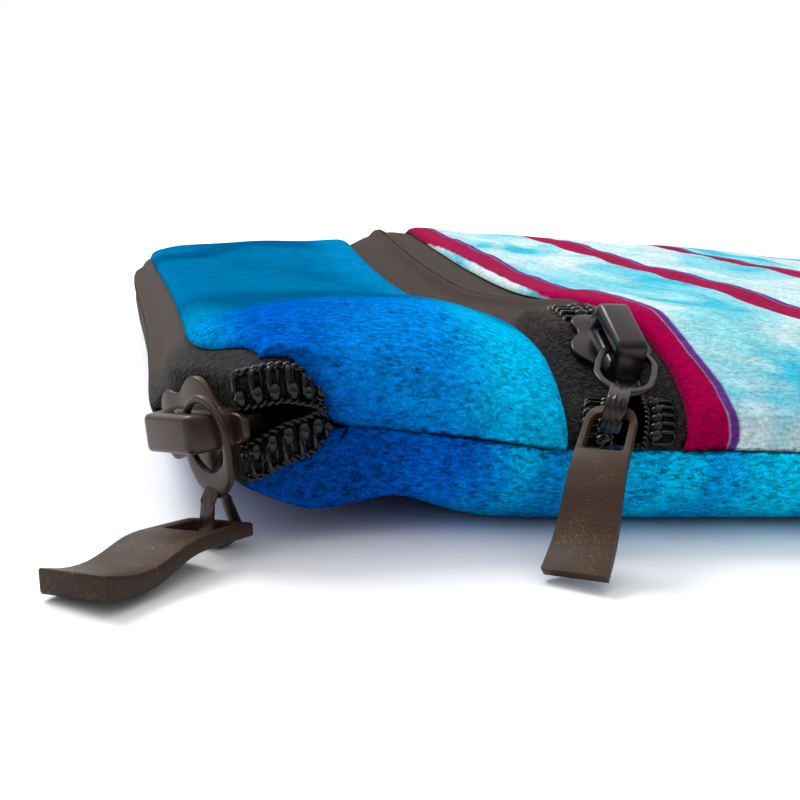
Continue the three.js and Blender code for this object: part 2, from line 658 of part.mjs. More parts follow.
// A slider in its own frame: x points to its mouth, y across the tape and z out of the pouch, with the
// tape's outer face at z 0
function sliderOutline(front, tail, reach) {
  const half = reach / 2;
  const flareFrom = -SLIDER_LONG * 0.06;
  const flareTo = SLIDER_LONG * 0.16;
  const round = 1.2;
  const shape = new THREE.Shape();
  shape.moveTo(-half, -tail / 2 + round);
  shape.quadraticCurveTo(-half, -tail / 2, -half + round, -tail / 2);
  shape.lineTo(flareFrom, -tail / 2);
  shape.lineTo(flareTo, -front / 2);
  shape.lineTo(half - 2 * round, -front / 2);
  shape.quadraticCurveTo(half, -front / 2, half, -front / 2 + 2 * round);
  shape.lineTo(half, front / 2 - 2 * round);
  shape.quadraticCurveTo(half, front / 2, half - 2 * round, front / 2);
  shape.lineTo(flareTo, front / 2);
  shape.lineTo(flareFrom, tail / 2);
  shape.lineTo(-half + round, tail / 2);
  shape.quadraticCurveTo(-half, tail / 2, -half, tail / 2 - round);
  return shape;
}

// The upper plate's outline: half its width from the tail to the nose
const UPPER_PLATE = [
  { x: -6.5, half: 2.2 },
  { x: -6.1, half: 2.9 },
  { x: -5.2, half: 3.45 },
  { x: -4.1, half: 3.2 },
  { x: -3.1, half: 3.2 },
  { x: -1.7, half: 4.4 },
  { x: -0.3, half: 4.75 },
  { x: 0.9, half: 4.3 },
  { x: 2.1, half: 3.1 },
  { x: 3.3, half: 1.9 },
  { x: 4.5, half: 1.5 },
  { x: 5.6, half: 1.4 },
  { x: 6.5, half: 1.2 },
  { x: 6.9, half: 0.8 },
];

function lobedOutline() {
  const above = UPPER_PLATE.map(({ x, half }) => new THREE.Vector2(x, half));
  const below = UPPER_PLATE.map(({ x, half }) => new THREE.Vector2(x, -half)).reverse();
  return new THREE.Shape([...above, ...below]);
}

function polygon(points) {
  return new THREE.Shape(points.map(([x, y]) => new THREE.Vector2(x, y)));
}

function sliderGeometry() {
  const upperFace = 0.35;
  const plateTop = upperFace + PLATE;
  const lowerFace = -(TAPE + GAP + COIL_DEEP + GAP);
  const flangeTop = -(TAPE + GAP + 0.1);
  const flange = 0.8;
  const outline = lobedOutline();
  const lowerOutline = sliderOutline(SLIDER_FRONT, SLIDER_TAIL, SLIDER_LONG - 2 * LOWER_SHORT);
  const channel = sliderOutline(SLIDER_FRONT - 2 * flange, SLIDER_TAIL - 2 * flange, SLIDER_LONG * 1.6);
  const rim = toSolid(extrude(lowerOutline, lowerFace - PLATE / 2, flangeTop)).subtract(
    toSolid(extrude(channel, lowerFace - PLATE, flangeTop + PLATE)),
  );
  const post = polygon([
    [2.2, 0],
    [3.9, 0.9],
    [5.4, 0.9],
    [5.4, -0.9],
    [3.9, -0.9],
  ]);
  const crownOuter = polygon([
    [5.3, plateTop - 0.3],
    [4.2, CROWN_HIGH - 0.5],
    [3.6, CROWN_HIGH],
    [-3.0, CROWN_HIGH - 0.1],
    [-3.6, CROWN_HIGH - 0.6],
    [-5.0, plateTop - 0.3],
  ]);
  crownOuter.holes.push(
    new THREE.Path(
      [
        [3.9, plateTop + 0.2],
        [3.1, CROWN_HIGH - 1.2],
        [-2.5, CROWN_HIGH - 1.2],
        [-3.6, plateTop + 0.2],
      ].map(([x, z]) => new THREE.Vector2(x, z)),
    ),
  );
  const crown = extrude(crownOuter, -CROWN_WIDE / 2, CROWN_WIDE / 2).rotateX(Math.PI / 2);
  return toGeometry(
    join([
      extrude(outline, upperFace, plateTop),
      extrude(lowerOutline, lowerFace - PLATE, lowerFace),
      extrude(post, lowerFace - PLATE / 2, upperFace + PLATE / 2),
      crown,
    ]).add(rim),
  );
}

// The ring that rides on the crown, with the eye for the tab cast on its lower end. x runs across the
// ring, y up along it and z out of its face.
function stadium(target, half, top, bottom) {
  target.absarc(0, top - half, half, 0, Math.PI, false);
  target.absarc(0, bottom + half, half, Math.PI, 2 * Math.PI, false);
  target.closePath();
  return target;
}

function ringGeometry({ eyeLong, ringTongue }) {
  const half = RING_LONG / 2;
  const ring = stadium(new THREE.Shape(), RING_WIDE / 2, half, -half);
  ring.holes.push(
    stadium(new THREE.Path(), RING_WIDE / 2 - RING_BAND, half - RING_BAND, -half + ringTongue),
  );
  const eyeTop = -half + 1.0;
  const eyeBottom = -half - eyeLong;
  const eye = stadium(new THREE.Shape(), EYE_OPEN / 2 + EYE_WIRE, eyeTop, eyeBottom);
  eye.holes.push(stadium(new THREE.Path(), EYE_OPEN / 2, eyeTop - 2 * EYE_WIRE, eyeBottom + EYE_WIRE));
  const standing = extrude(eye, -EYE_BAND / 2, EYE_BAND / 2).rotateY(Math.PI / 2);
  return toGeometry(join([extrude(ring, -RING_THICK / 2, RING_THICK / 2), standing]));
}

// A pull tab: x runs across it, y from its head to its end and z out of its face
function tabGeometry({ tabLong, tabHeadWide, tabEndWide, tabEndThick, tabCorner: headRound, slotWide }) {
  const loops = stations(TAB_STEPS).map((step) => {
    const share = Math.pow(step, 1.6);
    const at = tabLong * share;
    const straight = THREE.MathUtils.lerp(tabHeadWide, tabEndWide, share) / 2;
    const short = Math.max(headRound - at, 0);
    const half = straight - headRound + Math.sqrt(headRound * headRound - short * short);
    const thick = THREE.MathUtils.lerp(TAB_HEAD_THICK, tabEndThick, share * share) / 2;
    const middle = column(TAB_BEND, "share", "rise", share);
    const bevel = 0.35;
    const section = [
      [half, thick - bevel],
      [half - bevel, thick],
      [-half + bevel, thick],
      [-half, thick - bevel],
      [-half, -thick + bevel],
      [-half + bevel, -thick],
      [half - bevel, -thick],
      [half, -thick + bevel],
    ];
    return section.map(([x, z]) => new THREE.Vector3(x, at, z + middle));
  });
  const slot = new THREE.Shape();
  const half = slotWide / 2;
  slot.moveTo(half, SLOT_TO);
  slot.lineTo(-half, SLOT_TO);
  slot.lineTo(-half, SLOT_FROM + half * 0.6);
  slot.quadraticCurveTo(-half, SLOT_FROM, 0, SLOT_FROM);
  slot.quadraticCurveTo(half, SLOT_FROM, half, SLOT_FROM + half * 0.6);
  slot.closePath();
  return toGeometry(toSolid(loft(loops)).subtract(toSolid(extrude(slot, -tabEndWide, tabEndWide))));
}

// Places a piece with its own x, y and z along the given directions, keeping y and z as near as they can be
function place(mesh, size, position, yWay, zWay) {
  const y = yWay.clone().normalize();
  const x = new THREE.Vector3().crossVectors(y, zWay).normalize();
  const z = new THREE.Vector3().crossVectors(x, y);
  mesh.quaternion.setFromRotationMatrix(new THREE.Matrix4().makeBasis(x, y, z));
  mesh.position.copy(position);
  mesh.scale.setScalar(size);
}

function addSlider(name, size, chain, front, tail, across) {
  const middle = new THREE.Vector3().addVectors(chain(front), chain(tail)).multiplyScalar(0.5);
  const ahead = new THREE.Vector3().subVectors(chain(front), chain(tail)).normalize();
  const out = new THREE.Vector3().crossVectors(ahead, across);
  const side = new THREE.Vector3().crossVectors(out, ahead);
  place(addPiece(name, sliderGeometry(), FINISH.blackPaint), size, middle, side, out);
}

function addPull(name, pull) {
  const ring = addPiece(name + "_pull_ring", ringGeometry(pull), FINISH.blackPaint);
  place(ring, pull.ringSize, pull.ring, pull.ringUp, pull.ringFace);
  const ahead = new THREE.Vector3().subVectors(pull.tabEnd, pull.tabHead);
  const face = new THREE.Vector3().crossVectors(pull.tabWide, ahead);
  if (face.z < 0) face.negate();
  const tab = addPiece(name + "_pull_tab", tabGeometry(pull), FINISH.bronzePaint);
  place(tab, pull.tabSize, pull.tabHead, ahead, face);
}

addSlider("main_slider", PULLS.main.sliderSize, mainChain, 0.085, 0.195, MAIN_UPRIGHT);
addPull("main", PULLS.main);
addSlider("pocket_slider", PULLS.pocket.sliderSize, pocketChain, 0.142, 0.214, new THREE.Vector3(1, 0, 0));
addPull("pocket", PULLS.pocket);

export default pouch;
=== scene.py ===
# %% [markdown]
# # A velvet zip pouch
# The pouch lies on its back with its near left corner towards us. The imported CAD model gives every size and
# place, and this lesson gives each solid its looks: padded velvet, woven zip tape, coil teeth and painted
# castings. Each cell makes one step and prints what it made.

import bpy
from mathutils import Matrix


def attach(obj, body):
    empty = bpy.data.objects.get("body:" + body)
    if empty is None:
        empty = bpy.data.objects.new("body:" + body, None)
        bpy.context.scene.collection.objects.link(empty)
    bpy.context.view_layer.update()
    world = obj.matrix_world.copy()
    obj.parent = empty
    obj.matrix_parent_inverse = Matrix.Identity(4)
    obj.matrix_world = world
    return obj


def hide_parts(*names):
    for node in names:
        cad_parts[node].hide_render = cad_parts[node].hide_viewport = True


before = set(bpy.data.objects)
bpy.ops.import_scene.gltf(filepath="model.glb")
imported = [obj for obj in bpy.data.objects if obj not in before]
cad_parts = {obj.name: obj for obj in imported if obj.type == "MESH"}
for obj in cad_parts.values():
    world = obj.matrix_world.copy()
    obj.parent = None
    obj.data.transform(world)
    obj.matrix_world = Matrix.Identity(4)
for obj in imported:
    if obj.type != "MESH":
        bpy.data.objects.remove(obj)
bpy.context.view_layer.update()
print("CAD nodes:", len(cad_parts))

# %% Tools and units
import math

import bmesh
import bpy
import numpy as np
from mathutils import Matrix, Vector

MM = 0.001
BASE_CENTRE = np.array([86.0, 82.0, 0.0])
scene = bpy.context.scene
print("plan origin in the part's frame:", -BASE_CENTRE * MM)

# %% [markdown]
# ## The camera
# The photo is taken from low down, close to the near left corner, so the perspective is strong. A camera can
# be turned by angles or by its three directions. The directions are used here, because the photo gives them:
# which way is right and which way is up.

# %% Camera
CAMERA_AT = Vector((-0.086, -0.190458, 0.037368))
CAMERA_RIGHT = Vector((0.97783, -0.19935, 0.06407))
CAMERA_UP = Vector((-0.02095, 0.21131, 0.97719))
camera_data = bpy.data.cameras.new("photo_camera")
camera_data.lens = 54
camera_data.sensor_width = 36
camera_data.clip_start = 0.005
camera = bpy.data.objects.new("photo_camera", camera_data)
camera_turn = Matrix((CAMERA_RIGHT, CAMERA_UP, CAMERA_RIGHT.cross(CAMERA_UP))).transposed()
camera.matrix_world = Matrix.Translation(CAMERA_AT) @ camera_turn.to_4x4()
scene.collection.objects.link(camera)
scene.camera = camera
print("camera looks along", [round(v, 3) for v in -CAMERA_RIGHT.cross(CAMERA_UP)])

# %% [markdown]
# ## The plan of the pouch
# The soft pieces follow the CAD solids' curves, with small differences at the mouth: the line of each zip,
# the velvet edges beside it and the seams. Those curves are given by a few rows of numbers, in millimetres,
# and a smooth curve through the rows gives every place between them.

# %% Sizes of the pouch
POUCH_LENGTH = 176.0
POUCH_WIDTH = 164.0
SEAM_HEIGHT = 9.6
CORNER = 16.0
TOP_ROUND = 26.0
UNDER_ROUND = 11.0
HEM_ROUND = 16.0
VELVET = 2.0
EDGE_ROLL = 1.2
ROLL_REACH = 2.4
HEM_BACK = 0.8
TAPE_FLAT = 2.8
TAPE_HELD = 5.3

# %% The main zip's rows
MAIN_NAMES = ["x", "y", "z", "lip_in", "lip_z", "hem_in", "hem_z", "gap", "stand"]
MAIN_ROWS = [
    (0.0, 18.0, 2.4, 11.4, 0.2, 11.5, 0.2, 11.3, 0.3, 0),
    (0.025, 15.8, -0.1, 13.3, 1.2, 15.2, 0.5, 9.3, 0.5, 0.4),
    (0.0375, 14.3, -1.1, 13.4, 2.0, 17.8, 1.0, 8.4, 0.95, 0.6),
    (0.05, 12.6, -1.8, 13.4, 2.6, 18.1, 1.4, 7.5, 1.3, 0.8),
    (0.085, 9.1, -1.6, 12.0, 2.6, 17.9, 0.4, 6.4, 1.8, 1),
    (0.105, 8.1, 0.0, 11.5, 3.0, 18.0, 0.4, 6.0, 1.45, 1),
    (0.14, 6.2, 3.2, 10.9, 3.4, 18.1, 1.6, 6.1, 0.25, 1),
    (0.195, 3.3, 8.0, 10.0, 3.0, 17.2, 2.2, 6.0, 0.2, 1),
    (0.24, 1.7, 14.5, 10.5, 2.8, 16.9, 1.3, 5.8, 0.2, 0.4),
    (0.3, 1.5, 30, 11.2, 2.5, 16.7, -0.4, 6.0, 0.2, 0),
    (0.4, 1.2, 55, 11.2, 2.2, 16.2, -0.7, 5.8, 0.2, 0),
    (0.5, 0.3, 82, 10.7, 2.1, 15.4, -0.7, 5.5, 0.2, 0),
    (0.6, -0.7, 107, 10.1, 2.1, 14.6, -0.7, 5.2, 0.2, 0),
    (0.7, -1.3, 130, 9.4, 2.1, 13.6, -0.6, 4.9, 0.2, 0),
    (0.8, -0.9, 148, 9.0, 2.0, 12.8, -0.3, 4.8, 0.2, 0),
    (0.9, 3.6, 158.5, 9.2, 1.4, 12.2, 0.0, 5.6, 0.2, 0),
    (1.0, 14.0, 162, 9.7, 0.2, 10.6, 0.2, 8.8, 0.2, 0),
]

# %% The pocket zip's rows
POCKET_NAMES = ["x", "y", "z", "left_x", "left_z", "right_x", "right_z", "gap"]
POCKET_ROWS = [
    (0.0, 46.9, 0.0, 9.8, 40.6, 9.8, 53.0, 9.8, 2.0),
    (0.1, 48.6, 4.0, 12.6, 41.3, 13.2, 54.3, 13.9, 2.0),
    (0.142, 49.5, 7.5, 14.2, 41.9, 14.5, 54.9, 15.5, 1.4),
    (0.16, 49.45, 9.4, 15.3, 42.1, 15.1, 55.2, 16.2, 1.45),
    (0.18, 49.3, 12.5, 17.0, 42.3, 15.8, 55.4, 17.0, 0.25),
    (0.214, 49.1, 17.5, 19.8, 42.4, 16.5, 55.4, 18.6, 0.2),
    (0.25, 48.7, 24, 20.6, 42.0, 17.2, 55.0, 20.0, 0.2),
    (0.3, 47.6, 33.8, 19.4, 41.1, 17.2, 54.0, 19.9, 0.2),
    (0.4, 45.6, 56.7, 17.4, 39.2, 15.8, 52.0, 18.6, 0.2),
    (0.5, 45.2, 82, 17.8, 38.8, 15.8, 51.6, 19.0, 0.2),
    (0.6, 45.9, 107, 18.8, 39.5, 16.4, 52.3, 19.8, 0.2),
    (0.7, 47.2, 130, 19.6, 40.8, 16.9, 53.6, 20.3, 0.2),
    (0.8, 48.4, 148.3, 19.4, 42.0, 16.9, 54.8, 20.2, 0.2),
    (0.9, 49.2, 160, 15.4, 42.8, 14.0, 55.6, 16.0, 0.2),
    (1.0, 49.4, 164, 9.8, 43.0, 9.8, 55.8, 9.8, 0.2),
]

# %% The velvet's heights and the near seam
SWELL_ROWS = [
    (0.0, 0), (0.05, 0.9), (0.1, 2.1), (0.15, 3.3), (0.2, 4.2), (0.24, 3.9),
    (0.3, 2.3), (0.4, 0.7), (0.5, 0.5), (0.7, 0.8), (0.9, 0.4), (1.0, 0),
]
SECTION_PLACES = [16, 42, 82, 122, 150]
SECTION_ROWS = [
    (55, 20.2, 20.2, 19.2, 20.1, 20.6),
    (90, 19.8, 20.8, 21.2, 21.4, 21.0),
    (130, 18.8, 20.0, 20.6, 20.4, 19.6),
    (176, 16.0, 17.4, 18.4, 18.0, 16.6),
]
SEAM_ROWS = [(18, 2.4, 1.8), (26, 0.8, 1.5), (36, 0, 0.3), (44, 0, 0)]
FAR_SEAM_X = 14.0
FAR_SEAM_REACH = 16.0
FAR_SEAM_INSET = 2.0
BACK_FOLDS = [(24, 4, 3.0, 7, 16), (7, 3, 4.4, 6.5, 16)]
FOLDS_END = 40
FOLDS_FADE = 30
SLIDE_END = 1.4
SLIDE_MIDDLE = 30
POCKET_SETTLES = 30


# %% A smooth curve through the rows
def hermite(place, value, at):
    last = len(place) - 1
    order = np.arange(last + 1)
    before = np.maximum(order - 1, 0)
    after = np.minimum(order + 1, last)
    slope = (value[after] - value[before]) / (place[after] - place[before])
    here = np.clip(at, place[0], place[-1])
    i = np.clip(np.searchsorted(place, here) - 1, 0, last - 1)
    span = place[i + 1] - place[i]
    t = (here - place[i]) / span
    turn = t * t * (3 - 2 * t)
    bend = t * (1 - t) * span
    return value[i] * (1 - turn) + value[i + 1] * turn + bend * ((1 - t) * slope[i] - t * slope[i + 1])


def columns(rows, names):
    table = np.array(rows, float)

    def column(k):
        return lambda at: hermite(table[:, 0], table[:, k], at)

    return {name: column(k + 1) for k, name in enumerate(names)}


MAIN = columns(MAIN_ROWS, MAIN_NAMES)
POCKET = columns(POCKET_ROWS, POCKET_NAMES)
SWELL = columns(SWELL_ROWS, ["rise"])
SECTION = columns(SECTION_ROWS, SECTION_PLACES)
SEAM = columns(SEAM_ROWS, ["y", "rise"])
print("main zip's corner height:", round(float(MAIN["z"](0.05)), 2), "mm")


# %% Small helpers for shapes
def smoothstep(value, low, high):
    t = np.clip((value - low) / (high - low), 0, 1)
    return t * t * (3 - 2 * t)


def quarter_round(share):
    e = np.clip(share, 0, 1)
    return np.sqrt(e * (2 - e))


def points(x, y, z):
    return np.stack(np.broadcast_arrays(x, y, z), axis=-1).astype(float)


def unit(vectors):
    return vectors / np.maximum(np.linalg.norm(vectors, axis=-1, keepdims=True), 1e-9)


def across(along):
    return 0.5 - 0.5 * np.cos(np.pi * along)


# %% Seams in plan
def corner_inset(x):
    over = np.clip(x - (POUCH_LENGTH - CORNER), 0, CORNER)
    return CORNER - np.sqrt(CORNER * CORNER - over * over)


def near_edge(x):
    return SEAM["y"](x) + corner_inset(x)


def far_edge(x):
    share = np.clip((x - FAR_SEAM_X) / FAR_SEAM_REACH, 0, 1)
    return POUCH_WIDTH - FAR_SEAM_INSET * (1 - share) ** 2 - corner_inset(x)


def seam_height(x, y):
    near_share = np.clip(1 - y / (POUCH_WIDTH / 2), 0, 1)
    return SEAM_HEIGHT + SEAM["rise"](x) * near_share


# %% Lines of the two zips
def chain_of(rows):
    return lambda along: points(rows["x"](along), rows["y"](along), rows["z"](along))


main_chain = chain_of(MAIN)
pocket_chain = chain_of(POCKET)
CORNER_EASE = 0.045


def ahead_of(chain, along, step=0.004):
    return unit(chain(np.maximum(along - step, 0)) - chain(np.minimum(along + step, 1)))


def main_inward(along):
    ahead = ahead_of(main_chain, along, CORNER_EASE)
    return unit(points(-ahead[..., 1], ahead[..., 0], 0))


def main_edge(along, inset, height):
    edge = main_chain(along) + main_inward(along) * MAIN[inset](along)[..., None]
    edge[..., 2] = MAIN[height](along)
    return edge


def pocket_edge(along, place, height):
    x = POCKET[place](along)
    y = near_edge(x) + (far_edge(x) - near_edge(x)) * across(along)
    return points(x, y, POCKET[height](along))


# %% [markdown]
# ## The padded velvet
# Three panels of plush velvet are sewn round the pouch. A cloth simulation could blow up a flat cut, but it
# would lose the exact lie of the cloth at the open corner. So each panel is a fine grid on the CAD's own
# curves, and small creases and puckers are pushed in along its normals, as one would with a sculpting brush.
# A second grid behind it gives the cloth its thickness.

# %% Ripples for soft cloth
def ripple(u, v, waves):
    total = np.zeros(np.broadcast_shapes(np.shape(u), np.shape(v)))
    for length, turn, start, height in waves:
        place = (u * math.cos(turn) + v * math.sin(turn)) * 2 * math.pi / length
        total = total + height * np.sin(place + start)
    return total


LUMPS = [(31, 0.4, 0.3, 0.16), (23, 1.9, 2.1, 0.13), (17, 2.8, 4.0, 0.1), (11, 1.1, 1.0, 0.05)]
PUCKERS = [(9.5, 0.1, 0.6, 0.3), (6.1, -0.15, 2.7, 0.22), (4.3, 0.05, 5.1, 0.14), (14.5, 0.2, 1.2, 0.3)]
SEAM_CREASE = 0.75
CREASE_REACH = 1.5
PUCKER_REACH = 6.0
LUMP_REACH = 6.0
EDGE_FADE = (-0.5, 4)
LIP_FREE = (6, 18)
HEM_FREE = (4, 16)
HEM_OVER_SEAM = 9
CORNER_FADE = (3, 11)


# %% Grids and normals
def grid_normals(grid, side):
    return side * unit(np.cross(np.gradient(grid, axis=0), np.gradient(grid, axis=1)))


def lengths(grid, axis):
    steps = np.linalg.norm(np.diff(grid, axis=axis), axis=-1)
    return np.insert(np.cumsum(steps, axis=axis), 0, 0, axis=axis)


def edge_distance(grid, axis):
    start = lengths(grid, axis)
    return start, np.take(start, [-1], axis=axis) - start


def eased(steps, even_share=0.45):
    even = np.linspace(0, 1, steps + 1)
    return even_share * even + (1 - even_share) * across(even)


def seam_detail(distance, place):
    crease = -SEAM_CREASE * np.exp(-((distance / CREASE_REACH) ** 2))
    pucker = ripple(place, distance, PUCKERS) * np.exp(-((distance / PUCKER_REACH) ** 2))
    return crease + pucker * smoothstep(distance, 0, 1.2)


def from_corners(near, far, bottom):
    return smoothstep(np.minimum(np.hypot(near, bottom), np.hypot(far, bottom)), *CORNER_FADE)


def pushed(base, out, push, reach):
    push = push + ripple(base[..., 0], base[..., 1], LUMPS) * smoothstep(reach, 0, LUMP_REACH)
    return base + out * (push * smoothstep(reach, *EDGE_FADE))[..., None]


def over_seam(grid):
    grid[..., 2] = np.maximum(grid[..., 2], seam_height(grid[..., 0], grid[..., 1]))
    return grid


# %% A closed mesh from two grids
def rim_order(rows, cols):
    at = np.arange(rows * cols).reshape(rows, cols)
    return np.concatenate([at[:-1, 0], at[-1, :-1], at[:0:-1, -1], at[0, :0:-1]])


def shell_faces(rows, cols):
    at = np.arange(rows * cols).reshape(rows, cols)
    front = np.stack([at[:-1, :-1], at[1:, :-1], at[1:, 1:], at[:-1, 1:]], axis=-1).reshape(-1, 4)
    rim = rim_order(rows, cols)
    step = np.roll(rim, -1)
    behind = rows * cols
    walls = np.stack([rim, rim + behind, step + behind, step], axis=-1)
    return np.concatenate([front, front[:, ::-1] + behind, walls])


def enclosed(vertices, faces):
    a, b, c, d = (vertices[faces[:, k]] for k in range(4))
    return float((a * np.cross(b, c)).sum() + (a * np.cross(c, d)).sum())


def add_mesh(name, vertices, faces):
    mesh = bpy.data.meshes.new(name)
    mesh.from_pydata((vertices - BASE_CENTRE) * MM, [], faces)
    mesh.validate()
    mesh.shade_smooth()
    piece = bpy.data.objects.new(name, mesh)
    scene.collection.objects.link(piece)
    return piece


def add_shell(name, outer, inner):
    rows, cols = outer.shape[:2]
    vertices = np.concatenate([outer.reshape(-1, 3), inner.reshape(-1, 3)])
    faces = shell_faces(rows, cols)
    if enclosed(vertices, faces) < 0:
        faces = faces[:, ::-1]
    piece = add_mesh(name, vertices, faces.tolist())
    print(name, len(faces), "faces")
    return piece


# %% A UV map in metres, the same on both faces of a shell
def add_uv(piece, u, v):
    layer = piece.data.uv_layers.new(name="weave")
    values = np.stack([u.reshape(-1), v.reshape(-1)], axis=-1) * MM
    both = np.concatenate([values, values])
    order = np.empty(len(piece.data.loops), int)
    piece.data.loops.foreach_get("vertex_index", order)
    layer.data.foreach_set("uv", both[order].ravel())


# %% How thick the velvet is
def velvet_depth(edge_reach):
    rolled = EDGE_ROLL * quarter_round(edge_reach / ROLL_REACH)
    return np.maximum(rolled, 0.12) + (VELVET - EDGE_ROLL) * smoothstep(edge_reach, ROLL_REACH, 5)


def edge_roll(along):
    return smoothstep(np.minimum(along, 1 - along), 0, 0.06) * EDGE_ROLL


# %% The upper panel's surface
def seam_shift(end, share):
    at = np.array([[end]])
    lip = main_edge(at, "lip_in", "lip_z")
    edge = pocket_edge(at, "left_x", "left_z")
    line = lip + (edge - lip) * share[None, :, None]
    y = far_edge(line[..., 0]) if end > 0.5 else near_edge(line[..., 0])
    return points(0, y - line[..., 1], seam_height(line[..., 0], y) - line[..., 2])


def upper_surface(along, share):
    along = along[:, None]
    lip = main_edge(along, "lip_in", "lip_z")
    edge = pocket_edge(along, "left_x", "left_z")
    width = np.linalg.norm((edge - lip)[..., :2], axis=-1)
    surface = lip + (edge - lip) * share[None, :, None]
    for end in (0.0, 1.0):
        sewn = 1 - smoothstep(abs(along - end), 0, 0.1)
        surface += seam_shift(end, share) * (sewn * smoothstep(share, 0, 0.06))[..., None]
    reach = np.minimum(share * width, (1 - share) * width)
    swell = SWELL["rise"](along) * np.clip(np.sin(np.pi * share), 0, 1) ** 0.8
    surface[..., 2] += swell + edge_roll(along) * quarter_round(reach / ROLL_REACH)
    return surface, reach


UPPER_ROWS = 260
UPPER_COLUMNS = 84
upper_base, upper_reach = upper_surface(np.linspace(0, 1, UPPER_ROWS + 1), eased(UPPER_COLUMNS))
print("upper panel grid", upper_base.shape)

# %% The upper panel with its creases
upper_out = grid_normals(upper_base, -1)
near_seam, far_seam = edge_distance(upper_base, 0)
from_lip, _ = edge_distance(upper_base, 1)
upper_push = seam_detail(near_seam, upper_base[..., 0]) + seam_detail(far_seam, upper_base[..., 0])
upper_push *= smoothstep(from_lip, *LIP_FREE)
upper_outer = pushed(upper_base, upper_out, upper_push, upper_reach)
upper_inner = over_seam(upper_outer - upper_out * velvet_depth(upper_reach)[..., None])
upper_velvet = add_shell("upper_velvet", upper_outer, upper_inner)
add_uv(upper_velvet, np.minimum(near_seam, far_seam), from_lip)


# %% The pocket panel's surface
def pocket_height(x, y):
    places = np.array(SECTION_PLACES, float)
    heights = np.stack([SECTION[place](x) for place in SECTION_PLACES], axis=-1)
    flat = heights.reshape(-1, len(places))
    y_flat = np.broadcast_to(y, heights.shape[:-1]).reshape(-1)
    result = [hermite(places, row, at) for row, at in zip(flat, y_flat)]
    return np.array(result).reshape(heights.shape[:-1])


def pocket_surface(along, share):
    along = along[:, None]
    lip = pocket_edge(along, "right_x", "right_z")
    x = lip[..., 0] + (POUCH_LENGTH - lip[..., 0]) * share
    y = near_edge(x) + (far_edge(x) - near_edge(x)) * across(along)
    low = seam_height(x, y)
    turned = quarter_round((y - near_edge(x)) / TOP_ROUND) * quarter_round((far_edge(x) - y) / TOP_ROUND)
    turned = turned * quarter_round((POUCH_LENGTH - x) / TOP_ROUND)
    swollen = low + (pocket_height(x, y) - low) * turned
    reach = x - lip[..., 0]
    lip_height = lip[..., 2] + edge_roll(along) * quarter_round(reach / ROLL_REACH)
    settled = smoothstep(reach, 0, POCKET_SETTLES)
    return points(x, y, lip_height + (swollen - lip_height) * settled), reach


POCKET_ROWS_ALONG = 220
POCKET_COLUMNS = 100
pocket_base, pocket_reach = pocket_surface(
    np.linspace(0, 1, POCKET_ROWS_ALONG + 1), eased(POCKET_COLUMNS, 0.6)
)
print("pocket panel grid", pocket_base.shape)

# %% The pocket panel with its creases
pocket_out = grid_normals(pocket_base, -1)
near_seam, far_seam = edge_distance(pocket_base, 0)
_, bottom_seam = edge_distance(pocket_base, 1)
pocket_push = seam_detail(near_seam, pocket_base[..., 0]) + seam_detail(far_seam, pocket_base[..., 0])
pocket_push += seam_detail(bottom_seam, pocket_base[..., 1])
pocket_push *= from_corners(near_seam, far_seam, bottom_seam)
pocket_outer = over_seam(pushed(pocket_base, pocket_out, pocket_push, pocket_reach))
pocket_inner = over_seam(pocket_outer - pocket_out * velvet_depth(pocket_reach)[..., None])
pocket_velvet = add_shell("pocket_velvet", pocket_outer, pocket_inner)
add_uv(pocket_velvet, np.minimum(near_seam, far_seam), bottom_seam)


# %% The back panel's surface
def fold_rise(x, y):
    total = np.zeros(np.shape(x))
    for fold_x, fold_y, rise, reach_x, reach_y in BACK_FOLDS:
        total = total + rise * np.exp(-(((x - fold_x) / reach_x) ** 2) - ((y - fold_y) / reach_y) ** 2)
    return total


def back_surface(along, share):
    along = along[:, None]
    inside = smoothstep(np.minimum(along, 1 - along), 0, 0.1)
    set_back = HEM_BACK * smoothstep(np.minimum(along, 1 - along), 0, 0.05)
    hem = main_edge(along, "hem_in", "hem_z") + main_inward(along) * set_back[..., None]
    distance = (POUCH_LENGTH - hem[..., 0]) * share
    x = hem[..., 0] + distance
    square = near_edge(x) + (far_edge(x) - near_edge(x)) * across(along)
    slide = smoothstep(distance, 0, SLIDE_END + (SLIDE_MIDDLE - SLIDE_END) * inside)
    y = hem[..., 1] + (square - hem[..., 1]) * slide
    rim = hem[..., 2] + (seam_height(x, y) - hem[..., 2]) * slide
    near = np.maximum(y - near_edge(x), across(along) * POUCH_WIDTH)
    far = np.maximum(far_edge(x) - y, (1 - across(along)) * POUCH_WIDTH)
    turned = quarter_round(near / UNDER_ROUND) * quarter_round(far / UNDER_ROUND)
    turned = turned * quarter_round((POUCH_LENGTH - x) / UNDER_ROUND) * quarter_round(distance / HEM_ROUND)
    lifted = fold_rise(x, y) * turned * smoothstep(FOLDS_END - y, 0, FOLDS_FADE)
    return points(x, y, rim * (1 - turned) + lifted), distance


BACK_ROWS = 220
HEM_COLUMNS = 32
HEM_SHARE = 0.06
BACK_COLUMNS = 80
hem_shares = np.linspace(0, 1, HEM_COLUMNS + 1)[:-1] ** 2 * HEM_SHARE
back_shares = np.concatenate([hem_shares, HEM_SHARE + (1 - HEM_SHARE) * eased(BACK_COLUMNS, 0.6)])
back_base, back_reach = back_surface(np.linspace(0, 1, BACK_ROWS + 1), back_shares)
print("back panel grid", back_base.shape)

